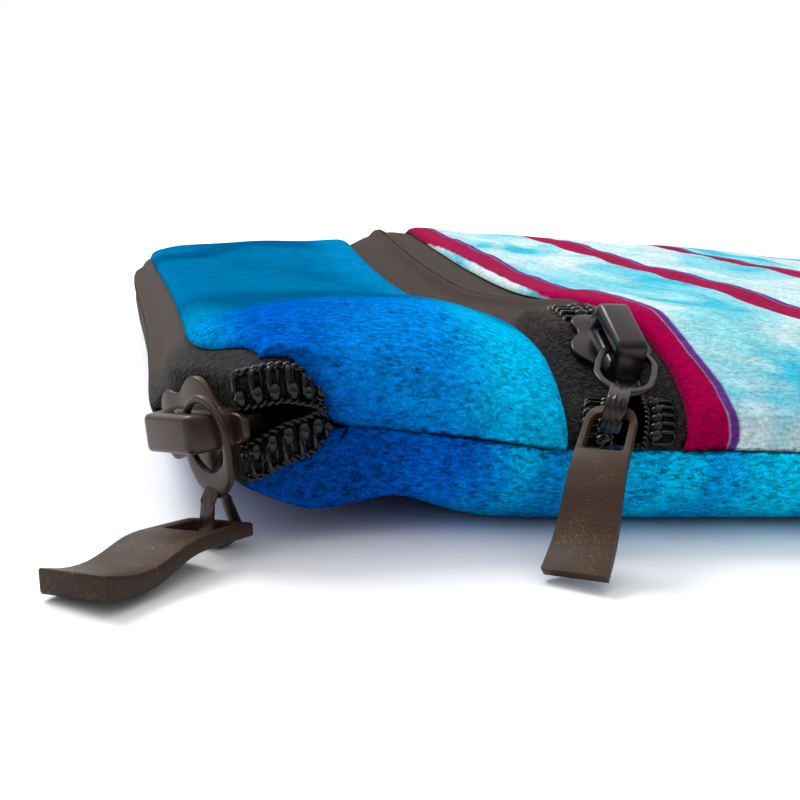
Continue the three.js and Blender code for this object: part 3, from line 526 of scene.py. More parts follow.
# %% The back panel with its creases
back_out = grid_normals(back_base, 1)
near_seam, far_seam = edge_distance(back_base, 0)
hem_seam, bottom_seam = edge_distance(back_base, 1)
back_push = seam_detail(near_seam, back_base[..., 0] + 3) + seam_detail(far_seam, back_base[..., 0])
back_push += seam_detail(bottom_seam, back_base[..., 1])
hem_free = smoothstep(back_reach, *HEM_FREE)
back_push *= hem_free * from_corners(near_seam, far_seam, bottom_seam)
back_outer = back_base + back_out * back_push[..., None]
highest = seam_height(back_outer[..., 0], back_outer[..., 1]) + HEM_OVER_SEAM * (1 - hem_free)
back_outer[..., 2] = np.clip(back_outer[..., 2], 0, highest)
back_inner = back_outer - back_out * velvet_depth(hem_seam)[..., None]
back_inner[..., 2] = np.minimum(back_inner[..., 2], seam_height(back_inner[..., 0], back_inner[..., 1]))
back_velvet = add_shell("back_velvet", back_outer, back_inner)
add_uv(back_velvet, np.minimum(near_seam, far_seam), bottom_seam)


# %% [markdown]
# ## The woven zip tapes
# A zip tape is a thin woven band. Its inner edge carries the coil and its outer edge is sewn under the
# velvet. A strip could be bent with a curve modifier, but here both edges are known curves, so the band is
# filled in between them. A UV map in metres along and across the band lets the weave follow every bend.

# %% Frames along a zip
MAIN_UPRIGHT = np.array([-0.158, 0.104, 0.982])
TAPE = 0.6
TUCK = 2.2
RIDGE = 1.1
RIDGE_WIDE = 1.1
END_MEETS = 0.03
END_DIP = 0.9


def zip_frame(zip_lines, along):
    chain = zip_lines["chain"](along)
    left = zip_lines["left"](along)
    right = zip_lines["right"](along)
    ahead = ahead_of(zip_lines["chain"], along)
    stand = zip_lines["stand"](along)[..., None]
    side = unit(unit(right - left) * (1 - stand) + zip_lines["upright"] * stand)
    out = unit(np.cross(ahead, side))
    flat = TAPE_FLAT + (TAPE_HELD - TAPE_FLAT) * stand
    return {"chain": chain, "left": left, "right": right, "ahead": ahead, "side": side, "out": out,
            "flat": flat, "gap": zip_lines["gap"](along)[..., None]}


MAIN_LINES = {
    "chain": main_chain,
    "left": lambda along: main_edge(along, "hem_in", "hem_z"),
    "right": lambda along: main_edge(along, "lip_in", "lip_z"),
    "upright": MAIN_UPRIGHT,
    "stand": MAIN["stand"],
    "gap": MAIN["gap"],
    "closed": 0.22,
    "open": (0.015, 0.09),
}
POCKET_LINES = {
    "chain": pocket_chain,
    "left": lambda along: pocket_edge(along, "left_x", "left_z"),
    "right": lambda along: pocket_edge(along, "right_x", "right_z"),
    "upright": np.array([1.0, 0, 0]),
    "stand": lambda along: smoothstep(0.3 - along, 0, 0.05),
    "gap": POCKET["gap"],
    "closed": 0.226,
    "open": (0.003, 0.15),
}


def edge_of(at, sign):
    return at["right"] if sign > 0 else at["left"]


def reach_of(at, sign):
    return np.linalg.norm(edge_of(at, sign) - at["chain"], axis=-1, keepdims=True)


# %% One tape across its width
TAPE_COLUMNS = 34
TAPE_ROWS = 401


def resample(lines, count):
    length = lengths(lines, 1)
    wanted = np.linspace(0, 1, count) * length[:, -1:]
    result = np.empty((len(lines), count, 3))
    for row in range(len(lines)):
        for axis in range(3):
            result[row, :, axis] = np.interp(wanted[row], length[row], lines[row, :, axis])
    return result


def softened(grid, times):
    for _ in range(times):
        grid[:, 1:-1] = 0.25 * grid[:, :-2] + 0.5 * grid[:, 1:-1] + 0.25 * grid[:, 2:]
    return grid


def tape_surface(zip_lines, along, sign, under):
    at = zip_frame(zip_lines, along)
    edge = edge_of(at, sign)
    reach = reach_of(at, sign)
    meets = smoothstep(along, 0.3 * END_MEETS, END_MEETS)[:, None]
    inner = at["chain"] + at["side"] * sign * np.minimum(at["gap"] * meets, reach * 0.4)
    knee = at["chain"] + at["side"] * sign * np.minimum(at["flat"], reach * 0.75)
    ended = 1 - smoothstep(np.minimum(along, 1 - along), 0, 0.06)[:, None]
    tucked = edge + under(along) * TUCK * (1 - ended) - at["out"] * (0.5 + ended)
    edge = edge - at["out"] * (0.3 + 0.6 * ended)
    grid = resample(np.stack([inner, knee, edge, tucked], axis=1), TAPE_COLUMNS)
    grid = softened(grid, 5)
    closed = smoothstep(along, zip_lines["closed"], zip_lines["closed"] + 0.012)
    ridge = RIDGE * np.exp(-((lengths(grid, 1) / RIDGE_WIDE) ** 2)) * closed[:, None]
    dip = END_DIP * (1 - smoothstep(along, 0, END_MEETS))
    return grid + at["out"][:, None] * (ridge - dip[:, None])[..., None]


def under_lip(along):
    way = pocket_edge(along, "left_x", "left_z") - main_edge(along, "lip_in", "lip_z")
    way[..., 2] = 0
    return unit(way)


def under_left(along):
    return points(-np.ones(len(along)), 0, 0)


def under_right(along):
    return -under_left(along)


# %% Tapes as thin shells with a UV map
def add_tape(name, zip_lines, span, sign, under):
    along = np.linspace(*span, TAPE_ROWS)
    outer = tape_surface(zip_lines, along, sign, under)
    out = grid_normals(outer, -sign)
    tape = add_shell(name, outer, outer - out * TAPE)
    middle = outer[:, :1].repeat(TAPE_COLUMNS, axis=1)
    add_uv(tape, lengths(outer, 1), lengths(middle, 0))
    return tape


MAIN_BAND = (MAIN_LINES, (0.003, 0.997))
POCKET_BAND = (POCKET_LINES, (0.014, 1.0))
main_tape_lower = add_tape("main_tape_lower", *MAIN_BAND, -1, main_inward)
main_tape_upper = add_tape("main_tape_upper", *MAIN_BAND, 1, under_lip)
pocket_tape_left = add_tape("pocket_tape_left", *POCKET_BAND, -1, under_left)
pocket_tape_right = add_tape("pocket_tape_right", *POCKET_BAND, 1, under_right)

# %% [markdown]
# ## The coil teeth
# The zip's teeth are turns of one stiff nylon wire that is sewn to the tape's edge. One turn is modelled from
# a torus, stretched into a long loop and tilted over its neighbour, with a cube rounded into its glossy head.
# It has few faces, because it is copied to every place along four rows. Where the zip is open, two threads
# are twisted into a cord beside the row.

# %% One turn of the coil
COIL_LEGS = 1.5
COIL_RADIUS = 0.56
WIRE_RADIUS = 0.27
WIRE_SWELL = 1.15
TOOTH_TILT = 0.75
HEAD_AT = (-0.3, 0, 0.34)
HEAD_SIZE = 1.1
HEAD_SHAPE = (1.15, 0.6, 0.68)


def deselect_all():
    bpy.ops.object.select_all(action="DESELECT")


def move(x, y, z):
    bpy.ops.transform.translate(value=(x, y, z))


def stretch(x, y, z, about=(0, 0, 0)):
    bpy.ops.transform.resize(value=(x, y, z), center_override=about)


def pick(piece, mode, test):
    bpy.ops.mesh.select_mode(type=mode)
    bpy.ops.mesh.select_all(action="DESELECT")
    mesh = bmesh.from_edit_mesh(piece.data)
    mesh.normal_update()
    for part in {"VERT": mesh.verts, "EDGE": mesh.edges, "FACE": mesh.faces}[mode]:
        part.select_set(test(part))
    mesh.select_flush_mode()
    bmesh.update_edit_mesh(piece.data)


def pick_vertices(piece, test):
    pick(piece, "VERT", lambda vertex: test(vertex.co))


deselect_all()
bpy.ops.mesh.primitive_torus_add(
    major_segments=10, minor_segments=4, major_radius=COIL_RADIUS, minor_radius=WIRE_RADIUS,
)
tooth = bpy.context.active_object
bpy.ops.object.mode_set(mode="EDIT")
pick_vertices(tooth, lambda co: co.x > 0.01)
move(COIL_LEGS, 0, 0)
bpy.ops.mesh.select_all(action="SELECT")
stretch(1, WIRE_SWELL, WIRE_SWELL)
bpy.ops.transform.rotate(value=TOOTH_TILT, orient_axis="X", center_override=(0, 0, 0))
bpy.ops.mesh.select_all(action="DESELECT")
bpy.ops.mesh.primitive_cube_add(size=HEAD_SIZE, location=HEAD_AT)
stretch(*HEAD_SHAPE, about=HEAD_AT)
bpy.ops.mesh.subdivide(number_cuts=1, smoothness=1.0)
bpy.ops.object.mode_set(mode="OBJECT")
print("faces in one tooth:", len(tooth.data.polygons))

# %% Rows of teeth
TOOTH_REACH = 2.3
TOOTH_MARGIN = 0.8
SHORTEST_TOOTH = 0.35
HEAD_BACK = 1.05
tooth_points = np.array([vertex.co for vertex in tooth.data.vertices])
tooth_faces = np.array([list(face.vertices) for face in tooth.data.polygons])
bpy.data.objects.remove(tooth)


def stations(chain, span, pitch, start):
    fine = np.linspace(*span, 4000)
    length = lengths(chain(fine)[None], 1)[0]
    return np.interp(np.arange(start, length[-1], pitch), length, fine)


def teeth_row(zip_lines, span, pitch, sign, sunk):
    start = pitch / 2 if sign > 0 else 0
    along = stations(zip_lines["chain"], span, pitch, start)
    at = zip_frame(zip_lines, along)
    reach = reach_of(at, sign)
    head = np.minimum(at["gap"], reach * 0.4) + HEAD_BACK
    short = np.clip((reach - head - TOOTH_MARGIN) / TOOTH_REACH, SHORTEST_TOOTH, 1)[:, None]
    centre = at["chain"] + at["side"] * sign * head + at["out"] * sunk(along)[..., None]
    x, y, z = (tooth_points[None, :, k, None] for k in range(3))
    side, ahead, out = (at[name][:, None] for name in ("side", "ahead", "out"))
    vertices = centre[:, None] + x * short * sign * side + y * ahead + z * out
    shift = np.arange(len(along))[:, None, None] * len(tooth_points)
    faces = (tooth_faces[None] + shift).reshape(-1, 4)
    return vertices.reshape(-1, 3), (faces[:, ::-1] if sign > 0 else faces).tolist()


# %% Twisted cords beside the teeth
THREAD = 0.22
CORD = 0.19
CORD_RISE = 0.12
CORD_MARGIN = 0.9
TWIST = 1.5
SIDES = 6
CORD_ROWS = 160


def strand(zip_lines, sign, aside, phase):
    along = np.linspace(*zip_lines["open"], CORD_ROWS)
    at = zip_frame(zip_lines, along)
    swing = (lengths(at["chain"][None], 1)[0] * 2 * np.pi / TWIST + phase)[:, None]
    reach = reach_of(at, sign)
    offset = np.minimum(at["gap"] + aside, reach - CORD_MARGIN)
    middle = at["chain"] + at["side"] * sign * (offset + CORD * np.cos(swing))
    middle = middle + at["out"] * (CORD_RISE + CORD * np.sin(swing))
    ahead = unit(np.gradient(middle, axis=0))
    flat = unit(np.cross(at["out"], ahead))
    up = np.cross(ahead, flat)
    turn = np.arange(SIDES)[None, :, None] * 2 * np.pi / SIDES
    rings = middle[:, None] + THREAD * (np.cos(turn) * flat[:, None] + np.sin(turn) * up[:, None])
    count = len(along) * SIDES
    at_ring = np.arange(count).reshape(-1, SIDES)
    beside = np.roll(at_ring, -1, axis=1)
    walls = np.stack([at_ring[:-1], beside[:-1], beside[1:], at_ring[1:]], axis=-1).reshape(-1, 4)
    caps = [at_ring[0, ::-1].tolist(), at_ring[-1].tolist()]
    return rings.reshape(-1, 3), walls.tolist() + caps


def add_teeth(name, zip_lines, span, pitch, sign, sunk, cords_at):
    parts = [teeth_row(zip_lines, span, pitch, sign, sunk)]
    for aside in cords_at:
        parts += [strand(zip_lines, sign, aside, phase) for phase in (0, math.pi)]
    vertices = np.concatenate([part[0] for part in parts])
    faces = []
    first = 0
    for part_vertices, part_faces in parts:
        faces += [[first + k for k in face] for face in part_faces]
        first += len(part_vertices)
    piece = add_mesh(name, vertices, faces)
    print(name, len(faces), "faces")
    return piece


# %% How deep the teeth lie under the sliders
MAIN_OPEN_RISE = 0.2
MAIN_DIVE = 1.85
MAIN_DIVE_AT = (0.078, 0.108)
POCKET_OPEN_RISE = 0.15
POCKET_DIVE = 1.7
POCKET_DIVE_AT = (0.11, 0.15)
RIBS_RISE = 1.6
RIBS_FROM = (0.19, 0.226)
RIBS_TO = (0.238, 0.262)


def main_sunk(along):
    return MAIN_OPEN_RISE - MAIN_DIVE * smoothstep(along, *MAIN_DIVE_AT)


def pocket_sunk(along):
    ribs = smoothstep(along, *RIBS_FROM) - smoothstep(along, *RIBS_TO)
    return POCKET_OPEN_RISE - POCKET_DIVE * smoothstep(along, *POCKET_DIVE_AT) + RIBS_RISE * ribs


MAIN_PITCH = 1.5
POCKET_PITCH = 1.2
MAIN_COIL = (MAIN_LINES, (0.02, 0.95), MAIN_PITCH)
POCKET_COIL = (POCKET_LINES, (0.02, 0.97), POCKET_PITCH)
MAIN_CORDS = (-0.15, 3.1)
POCKET_CORDS = (-0.15,)
main_teeth_lower = add_teeth("main_teeth_lower", *MAIN_COIL, -1, main_sunk, MAIN_CORDS)
main_teeth_upper = add_teeth("main_teeth_upper", *MAIN_COIL, 1, main_sunk, MAIN_CORDS)
pocket_teeth_left = add_teeth("pocket_teeth_left", *POCKET_COIL, -1, pocket_sunk, POCKET_CORDS)
pocket_teeth_right = add_teeth("pocket_teeth_right", *POCKET_COIL, 1, pocket_sunk, POCKET_CORDS)


# %% [markdown]
# ## The slider
# A slider is a small zinc casting: two plates that run above and below the tape, a wedge between them and a
# box crown on top that holds the pull. It is modelled on the bench at one unit to the millimetre, with its
# mouth towards X. Cubes are cut with bisect, widened, bevelled and pierced by bridging two inset faces.

# %% Bench tools
def bench_box(name, low, high):
    deselect_all()
    low, high = Vector(low), Vector(high)
    bpy.ops.mesh.primitive_cube_add(size=1, location=(low + high) / 2, scale=high - low)
    piece = bpy.context.active_object
    piece.name = name
    bpy.ops.object.transform_apply(location=True, rotation=True, scale=True)
    bpy.ops.object.mode_set(mode="EDIT")
    return piece


def cut(place, direction):
    bpy.ops.mesh.select_all(action="SELECT")
    bpy.ops.mesh.bisect(plane_co=place, plane_no=direction, threshold=1e-4)


def pick_faces(piece, test):
    pick(piece, "FACE", lambda face: test(face.calc_center_median(), face.normal))


def pick_edges(piece, test):
    pick(piece, "EDGE", lambda edge: test(edge.verts[0].co, edge.verts[1].co))


def finish_edges(piece, width, segments=3):
    bpy.ops.object.mode_set(mode="OBJECT")
    bevel = piece.modifiers.new("soft_edges", "BEVEL")
    bevel.width = width
    bevel.segments = segments
    bevel.limit_method = "ANGLE"
    bevel.angle_limit = math.radians(32)
    bpy.ops.object.modifier_apply(modifier=bevel.name)
    bpy.ops.object.shade_smooth_by_angle(angle=math.radians(38))


# %% Slider plates
CAST_EDGE = 0.2
SLIDER_FRONT = 9.2
SLIDER_TAIL = 6.8
FLARE_FROM = -0.7
FLARE_TO = 1.8
UPPER_PLATE = (0.35, 1.15)
LOWER_PLATE = (-3.5, -2.6)
UPPER_OUTLINE = [
    (-6.5, 2.2), (-6.1, 2.9), (-5.2, 3.45), (-4.1, 3.2), (-3.1, 3.2), (-1.7, 4.4), (-0.3, 4.75), (0.9, 4.3),
    (2.1, 3.1), (3.3, 1.9), (4.5, 1.5), (5.6, 1.4), (6.5, 1.2), (6.9, 0.8),
]
LOWER_OUTLINE = [(-4.9, 2.6), (-4.2, 3.3), (-1.0, 3.4), (0.8, 4.2), (2.2, 4.2), (3.0, 3.2)]
PLATE_CUTS = 26


def slider_plate(name, outline, low, high):
    place, half = np.array(outline).T
    plate = bench_box(name, (place[0], -1, low), (place[-1], 1, high))
    rows = np.linspace(place[0], place[-1], PLATE_CUTS)
    for row in rows[1:-1]:
        cut((row, 0, 0), (1, 0, 0))
    for row in rows:
        share = float(hermite(place, half, row))
        pick_vertices(plate, lambda co: abs(co.x - row) < 1e-3)
        stretch(1, share, 1)
    finish_edges(plate, CAST_EDGE)
    return plate


upper_plate = slider_plate("upper_plate", UPPER_OUTLINE, *UPPER_PLATE)
lower_plate = slider_plate("lower_plate", LOWER_OUTLINE, *LOWER_PLATE)
print("plate faces:", len(upper_plate.data.polygons))


# %% Slider wedge and flanges
RAIL_X = (-4.7, 2.4)
RAIL_Z = (-3.2, -1.1)
RAIL_THICK = 0.8
WEDGE_LOW = (2.2, -0.8, -3.0)
WEDGE_HIGH = (4.3, 0.8, 0.8)
WEDGE_SHOULDER = 3.5
WEDGE_POINT = 0.12


def slider_flange(name, sign):
    tail = sorted((sign * (SLIDER_TAIL / 2 - RAIL_THICK), sign * SLIDER_TAIL / 2))
    rail = bench_box(name, (RAIL_X[0], tail[0], RAIL_Z[0]), (RAIL_X[1], tail[1], RAIL_Z[1]))
    cut((FLARE_FROM, 0, 0), (1, 0, 0))
    cut((FLARE_TO, 0, 0), (1, 0, 0))
    pick_vertices(rail, lambda co: co.x > FLARE_TO - 1e-3)
    move(0, sign * (SLIDER_FRONT - SLIDER_TAIL) / 2, 0)
    finish_edges(rail, CAST_EDGE)
    return rail


def slider_wedge():
    wedge = bench_box("wedge", WEDGE_LOW, WEDGE_HIGH)
    cut((WEDGE_SHOULDER, 0, 0), (1, 0, 0))
    pick_vertices(wedge, lambda co: co.x < WEDGE_LOW[0] + 0.1)
    stretch(1, WEDGE_POINT, 1)
    finish_edges(wedge, CAST_EDGE)
    return wedge


slider_rails = [slider_flange("flange_a", 1), slider_flange("flange_b", -1)]
slider_post = slider_wedge()

# %% Slider crown
CROWN_WIDE = 3.6
CROWN_WALL = 1.9
CROWN_LOW = 0.1
CROWN_HIGH = 5.3
CROWN_BACK = -5.2
CROWN_FRONT = 5.5
BACK_LEAN = 1.7
FRONT_LEAN = -1.25
CROWN_ROUND = 0.9
CROWN_EDGE = 0.6


def slider_crown():
    half = CROWN_WIDE / 2
    crown = bench_box("crown", (CROWN_BACK, -half, CROWN_LOW), (CROWN_FRONT, half, CROWN_HIGH))
    pick_vertices(crown, lambda co: co.z > 3 and co.x > 0)
    move(FRONT_LEAN, 0, 0)
    pick_vertices(crown, lambda co: co.z > 3 and co.x < 0)
    move(BACK_LEAN, 0, 0)
    pick_faces(crown, lambda middle, normal: abs(normal.y) > 0.9)
    bpy.ops.mesh.inset(thickness=CROWN_WALL)
    pick_faces(crown, lambda middle, normal: abs(normal.y) > 0.9 and abs(middle.x) < 1 and 1.5 < middle.z < 4)
    bpy.ops.mesh.bridge_edge_loops()
    pick_edges(crown, lambda a, b: abs(a.y - b.y) > 2.9 and min(a.z, b.z) > 5)
    bpy.ops.mesh.bevel(offset=CROWN_ROUND, segments=4, affect="EDGES")
    finish_edges(crown, CROWN_EDGE)
    return crown


crown = slider_crown()
print("crown faces:", len(crown.data.polygons))


# %% Join the slider
def joined(name, parts):
    deselect_all()
    for part in parts:
        part.select_set(True)
    bpy.context.view_layer.objects.active = parts[0]
    bpy.ops.object.join()
    parts[0].name = name
    parts[0].data.name = name
    return parts[0]


slider_bench = joined("slider_bench", [upper_plate, lower_plate, *slider_rails, slider_post, crown])
print("slider faces:", len(slider_bench.data.polygons))

# %% [markdown]
# ## The pull ring
# The ring is stamped flat, with a wide foot, and a grooved eye is cast on it for the tab. A filled circle is
# pulled out to an oval, inset to open it, and given its thickness by Solidify. The eye is a torus that is
# widened to a band, grooved, stretched and narrowed towards the ring.

# %% The flat ring
RING_WIDE = 6.5
RING_LONG = 10.1
RING_THICK = 0.62
RING_BAND = 0.75
RING_OVAL = 0.2


def flat_ring(name, foot):
    deselect_all()
    bpy.ops.mesh.primitive_circle_add(vertices=48, radius=RING_WIDE / 2, fill_type="NGON")
    ring = bpy.context.active_object
    ring.name = name
    bpy.ops.object.mode_set(mode="EDIT")
    pick_vertices(ring, lambda co: co.y > 0)
    move(0, (RING_LONG - RING_WIDE) / 2, 0)
    pick_vertices(ring, lambda co: co.y < 0)
    move(0, (RING_WIDE - RING_LONG) / 2, 0)
    pick_faces(ring, lambda middle, normal: True)
    bpy.ops.mesh.inset(thickness=RING_BAND)
    bpy.ops.mesh.delete(type="FACE")
    hole = RING_WIDE / 2 - RING_BAND + 0.05
    pick_vertices(ring, lambda co: co.y < -1 and math.hypot(co.x, co.y + (RING_LONG - RING_WIDE) / 2) < hole)
    move(0, foot, 0)
    bpy.ops.object.mode_set(mode="OBJECT")
    for vertex in ring.data.vertices:
        vertex.co.x *= 1 - RING_OVAL * (2 * vertex.co.y / RING_LONG) ** 2
    solid = ring.modifiers.new("thickness", "SOLIDIFY")
    solid.thickness = RING_THICK
    solid.offset = 0
    bpy.ops.object.modifier_apply(modifier=solid.name)
    finish_edges(ring, 0.18)
    return ring


# %% The grooved eye
EYE_RADIUS = 1.4
EYE_WIRE = 0.32
EYE_BAND = 2.1
EYE_TOP = -4.05
GROOVES = (-0.55, 0.0, 0.55)
GROOVED = 0.93
EYE_SPREAD = 1.3
EYE_TAPER = ((-0.2, 0.56), (0.35, 0.8), (0.9, 0.85))


def grooved_eye(name, drop):
    deselect_all()
    bpy.ops.mesh.primitive_torus_add(
        major_segments=28, minor_segments=24, major_radius=EYE_RADIUS, minor_radius=EYE_WIRE,
    )
    eye = bpy.context.active_object
    eye.name = name
    bpy.ops.object.mode_set(mode="EDIT")
    bpy.ops.mesh.select_all(action="SELECT")
    stretch(1, 1, EYE_BAND / 2 / EYE_WIRE)
    for groove in GROOVES:
        pick_vertices(eye, lambda co: math.hypot(co.x, co.y) > EYE_RADIUS and abs(co.z - groove) < 0.07)
        stretch(GROOVED, GROOVED, 1)
    bpy.ops.mesh.select_all(action="SELECT")
    bpy.ops.transform.rotate(value=math.pi / 2, orient_axis="Y", center_override=(0, 0, 0))
    stretch(1, 1, EYE_SPREAD)
    pick_vertices(eye, lambda co: co.y < -0.01)
    move(0, -drop, 0)
    for place, share in EYE_TAPER:
        pick_vertices(eye, lambda co: co.y > place)
        stretch(1, 1, share)
    bpy.ops.mesh.select_all(action="SELECT")
    move(0, EYE_TOP - EYE_RADIUS, 0)
    bpy.ops.object.mode_set(mode="OBJECT")
    bpy.ops.object.shade_smooth_by_angle(angle=math.radians(50))
    return eye


MAIN_FOOT = 1.9
MAIN_EYE = 2.7
POCKET_FOOT = 0.3
POCKET_EYE = 3.5
main_loop = [flat_ring("main_flat", MAIN_FOOT), grooved_eye("main_eye", MAIN_EYE)]
main_ring_bench = joined("main_ring_bench", main_loop)
pocket_loop = [flat_ring("pocket_flat", POCKET_FOOT), grooved_eye("pocket_eye", POCKET_EYE)]
pocket_ring_bench = joined("pocket_ring_bench", pocket_loop)
print("ring with its eye:", len(main_ring_bench.data.polygons), "faces")

# %% [markdown]
# ## The pull tab
# The tab is a stamped bar with a rounded head, a slot for the eye and a gentle S bend. A box is cut across in
# many places, and its vertices are then widened, thickened and lifted by their place along it, which bends it
# as a press would. Its broad faces are marked first, so that its finish can give the narrow side faces a
# near-black painted shade.

# %% The flat tab with its slot
TAB_THICK = 1.15
SLOT_FROM = 0.95
SLOT_TO = 5.8
TAB_CUTS = (SLOT_FROM, SLOT_TO, 6.6, 7.6, 8.6, 9.6, 10.6, 11.6, 12.6, 13.6, 14.6, 15.6, 16.6, 17.6, 18.4)


def corner_at(x, y):
    def test(a, b):
        standing = abs(a.x - b.x) < 1e-3 and abs(a.y - b.y) < 1e-3
        return standing and abs(abs(a.x) - x) < 1e-2 and abs(a.y - y) < 1e-2
    return test


def over_slot(middle, normal):
    return abs(normal.z) > 0.9 and SLOT_FROM < middle.y < SLOT_TO


def flat_tab(name, wide, long, corner, slot_half):
    tab = bench_box(name, (-wide / 2, 0, -TAB_THICK / 2), (wide / 2, long, TAB_THICK / 2))
    pick_edges(tab, corner_at(wide / 2, 0))
    bpy.ops.mesh.bevel(offset=corner, segments=6, affect="EDGES")
    for place in TAB_CUTS:
        cut((0, place, 0), (0, 1, 0))
    for side in (-slot_half, slot_half):
        pick_faces(tab, over_slot)
        bpy.ops.mesh.bisect(plane_co=(side, 0, 0), plane_no=(1, 0, 0), threshold=1e-4)
    pick_faces(tab, lambda middle, normal: over_slot(middle, normal) and abs(middle.x) < slot_half - 0.3)
    bpy.ops.mesh.bridge_edge_loops()
    pick_edges(tab, corner_at(slot_half, SLOT_FROM))
    bpy.ops.mesh.bevel(offset=0.7 * corner, segments=6, affect="EDGES")
    pick_edges(tab, corner_at(slot_half, SLOT_TO))
    bpy.ops.mesh.bevel(offset=0.4, segments=3, affect="EDGES")
    finish_edges(tab, 0.24)
    return tab


# %% Bend the tab
BEND_SHARES = np.array([0, 0.15, 0.29, 0.42, 0.51, 0.63, 0.73, 0.85, 1])
BEND_HEIGHTS = np.array([0, 0.2, 0.4, 0.5, 0.28, -0.35, -0.7, -0.65, 0])


def mark_faces(tab):
    # Broad faces get 1 and side faces 0; the finish paints the side faces dark as painted shade.
    layer = tab.data.uv_layers.new(name="rubbed")
    for face in tab.data.polygons:
        rubbed = 1.0 if abs(face.normal.z) > 0.9 else 0.0
        for corner in face.loop_indices:
            layer.data[corner].uv = (rubbed, 0.0)


def bend_tab(tab, long, widen, end_thick):
    mark_faces(tab)
    for vertex in tab.data.vertices:
        share = vertex.co.y / long
        vertex.co.x *= 1 + (widen - 1) * share
        vertex.co.z *= 1 + (end_thick / TAB_THICK - 1) * share * share
        vertex.co.z += float(hermite(BEND_SHARES, BEND_HEIGHTS, share))
    tab.data.update()
    print(tab.name, len(tab.data.polygons), "faces, bent by", round(float(np.ptp(BEND_HEIGHTS)), 2), "mm")


MAIN_TAB_LONG = 20.3
POCKET_TAB_LONG = 20.2
main_tab_bench = flat_tab("main_tab_bench", 7.7, MAIN_TAB_LONG, 1.0, 2.3)
bend_tab(main_tab_bench, MAIN_TAB_LONG, 0.94, 2.2)
pocket_tab_bench = flat_tab("pocket_tab_bench", 5.5, POCKET_TAB_LONG, 1.7, 2.14)
bend_tab(pocket_tab_bench, POCKET_TAB_LONG, 1.24, 1.5)


# %% [markdown]
# ## Hang the castings on the pouch
# The slider is copied to the main zip and to the pocket zip, and each zip has its own ring and tab. A copy
# gets its own mesh, and its place goes into that mesh, so the object itself stays at the origin.

# %% Copy a casting to its place
def placed(name, bench, size, position, y_way, z_way):
    y = Vector(y_way).normalized()
    x = y.cross(Vector(z_way)).normalized()
    z = x.cross(y)
    turn = Matrix((x, y, z)).transposed().to_4x4()
    shift = Matrix.Translation((Vector(position) - Vector(BASE_CENTRE)) * MM)
    mesh = bench.data.copy()
    mesh.name = name
    mesh.transform(shift @ turn @ Matrix.Scale(size * MM, 4))
    piece = bpy.data.objects.new(name, mesh)
    scene.collection.objects.link(piece)
    return piece


def place_slider(name, size, chain, front, tail, upright):
    ends = chain(np.array([front, tail]))
    middle = Vector(ends.mean(axis=0))
    ahead = Vector(ends[0] - ends[1]).normalized()
    out = ahead.cross(Vector(upright))
    return placed(name, slider_bench, size, middle, out.cross(ahead), out)


main_slider = place_slider("main_slider_casting", 1, main_chain, 0.085, 0.195, MAIN_UPRIGHT)
pocket_slider = place_slider("pocket_slider_casting", 0.96, pocket_chain, 0.142, 0.214, (1, 0, 0))


# %% Rings and tabs
def place_tab(name, bench, size, head, end, wide):
    ahead = Vector(end) - Vector(head)
    face = Vector(wide).cross(ahead)
    if face.z < 0:
        face.negate()
    return placed(name, bench, size, head, ahead, face)


RING_TURNS = {
    "main": ((5.78, -0.75, 9.78), (-0.18, -0.1, 0.977), (-0.82, -0.57, -0.04)),
    "pocket": ((48.35, 5.7, 16.9), (0.44, 0.84, 0.32), (0, -0.4, 0.92)),
}
main_ring = placed("main_ring_casting", main_ring_bench, 1, *RING_TURNS["main"])
pocket_ring = placed("pocket_ring_casting", pocket_ring_bench, 1, *RING_TURNS["pocket"])
TAB_PLACES = {
    "main": ((7.52, 0.42, 1.9), (-5.4, -15.5, 2.1), (0.93, -0.37, 0.12)),
    "pocket": ((44.6, -1.5, 14.3), (38.0, -12.0, 1.1), (0.8, -0.57, 0.1)),
}
main_tab = place_tab("main_tab_bar", main_tab_bench, 1, *TAB_PLACES["main"])
pocket_tab = place_tab("pocket_tab_bar", pocket_tab_bench, 0.89, *TAB_PLACES["pocket"])
for bench in (slider_bench, main_ring_bench, pocket_ring_bench, main_tab_bench, pocket_tab_bench):
    bpy.data.objects.remove(bench)
print("main ring at", RING_TURNS["main"][0], "mm on the plan")


# %% [markdown]
# ## Writing finishes as sums
# A finish is a graph of nodes. Wiring it by hand in code is long to read, so one small class wraps a socket
# and turns ordinary sums into Math nodes, and one method adds any other node with its settings and inputs.

# %% A socket that can be added and multiplied
class Value:
    def __init__(self, finish, socket):
        self.finish = finish
        self.socket = socket

    def maths(self, operation, first, second=0.0):
        return self.finish.node("ShaderNodeMath", {"operation": operation}, {0: first, 1: second})

    def __add__(self, other):
        return self.maths("ADD", self, other)

    __radd__ = __add__

    def __sub__(self, other):
        return self.maths("SUBTRACT", self, other)

    def __rsub__(self, other):
        return self.maths("SUBTRACT", other, self)

    def __mul__(self, other):
        return self.maths("MULTIPLY", self, other)

    __rmul__ = __mul__

    def __truediv__(self, other):
        return self.maths("DIVIDE", self, other)


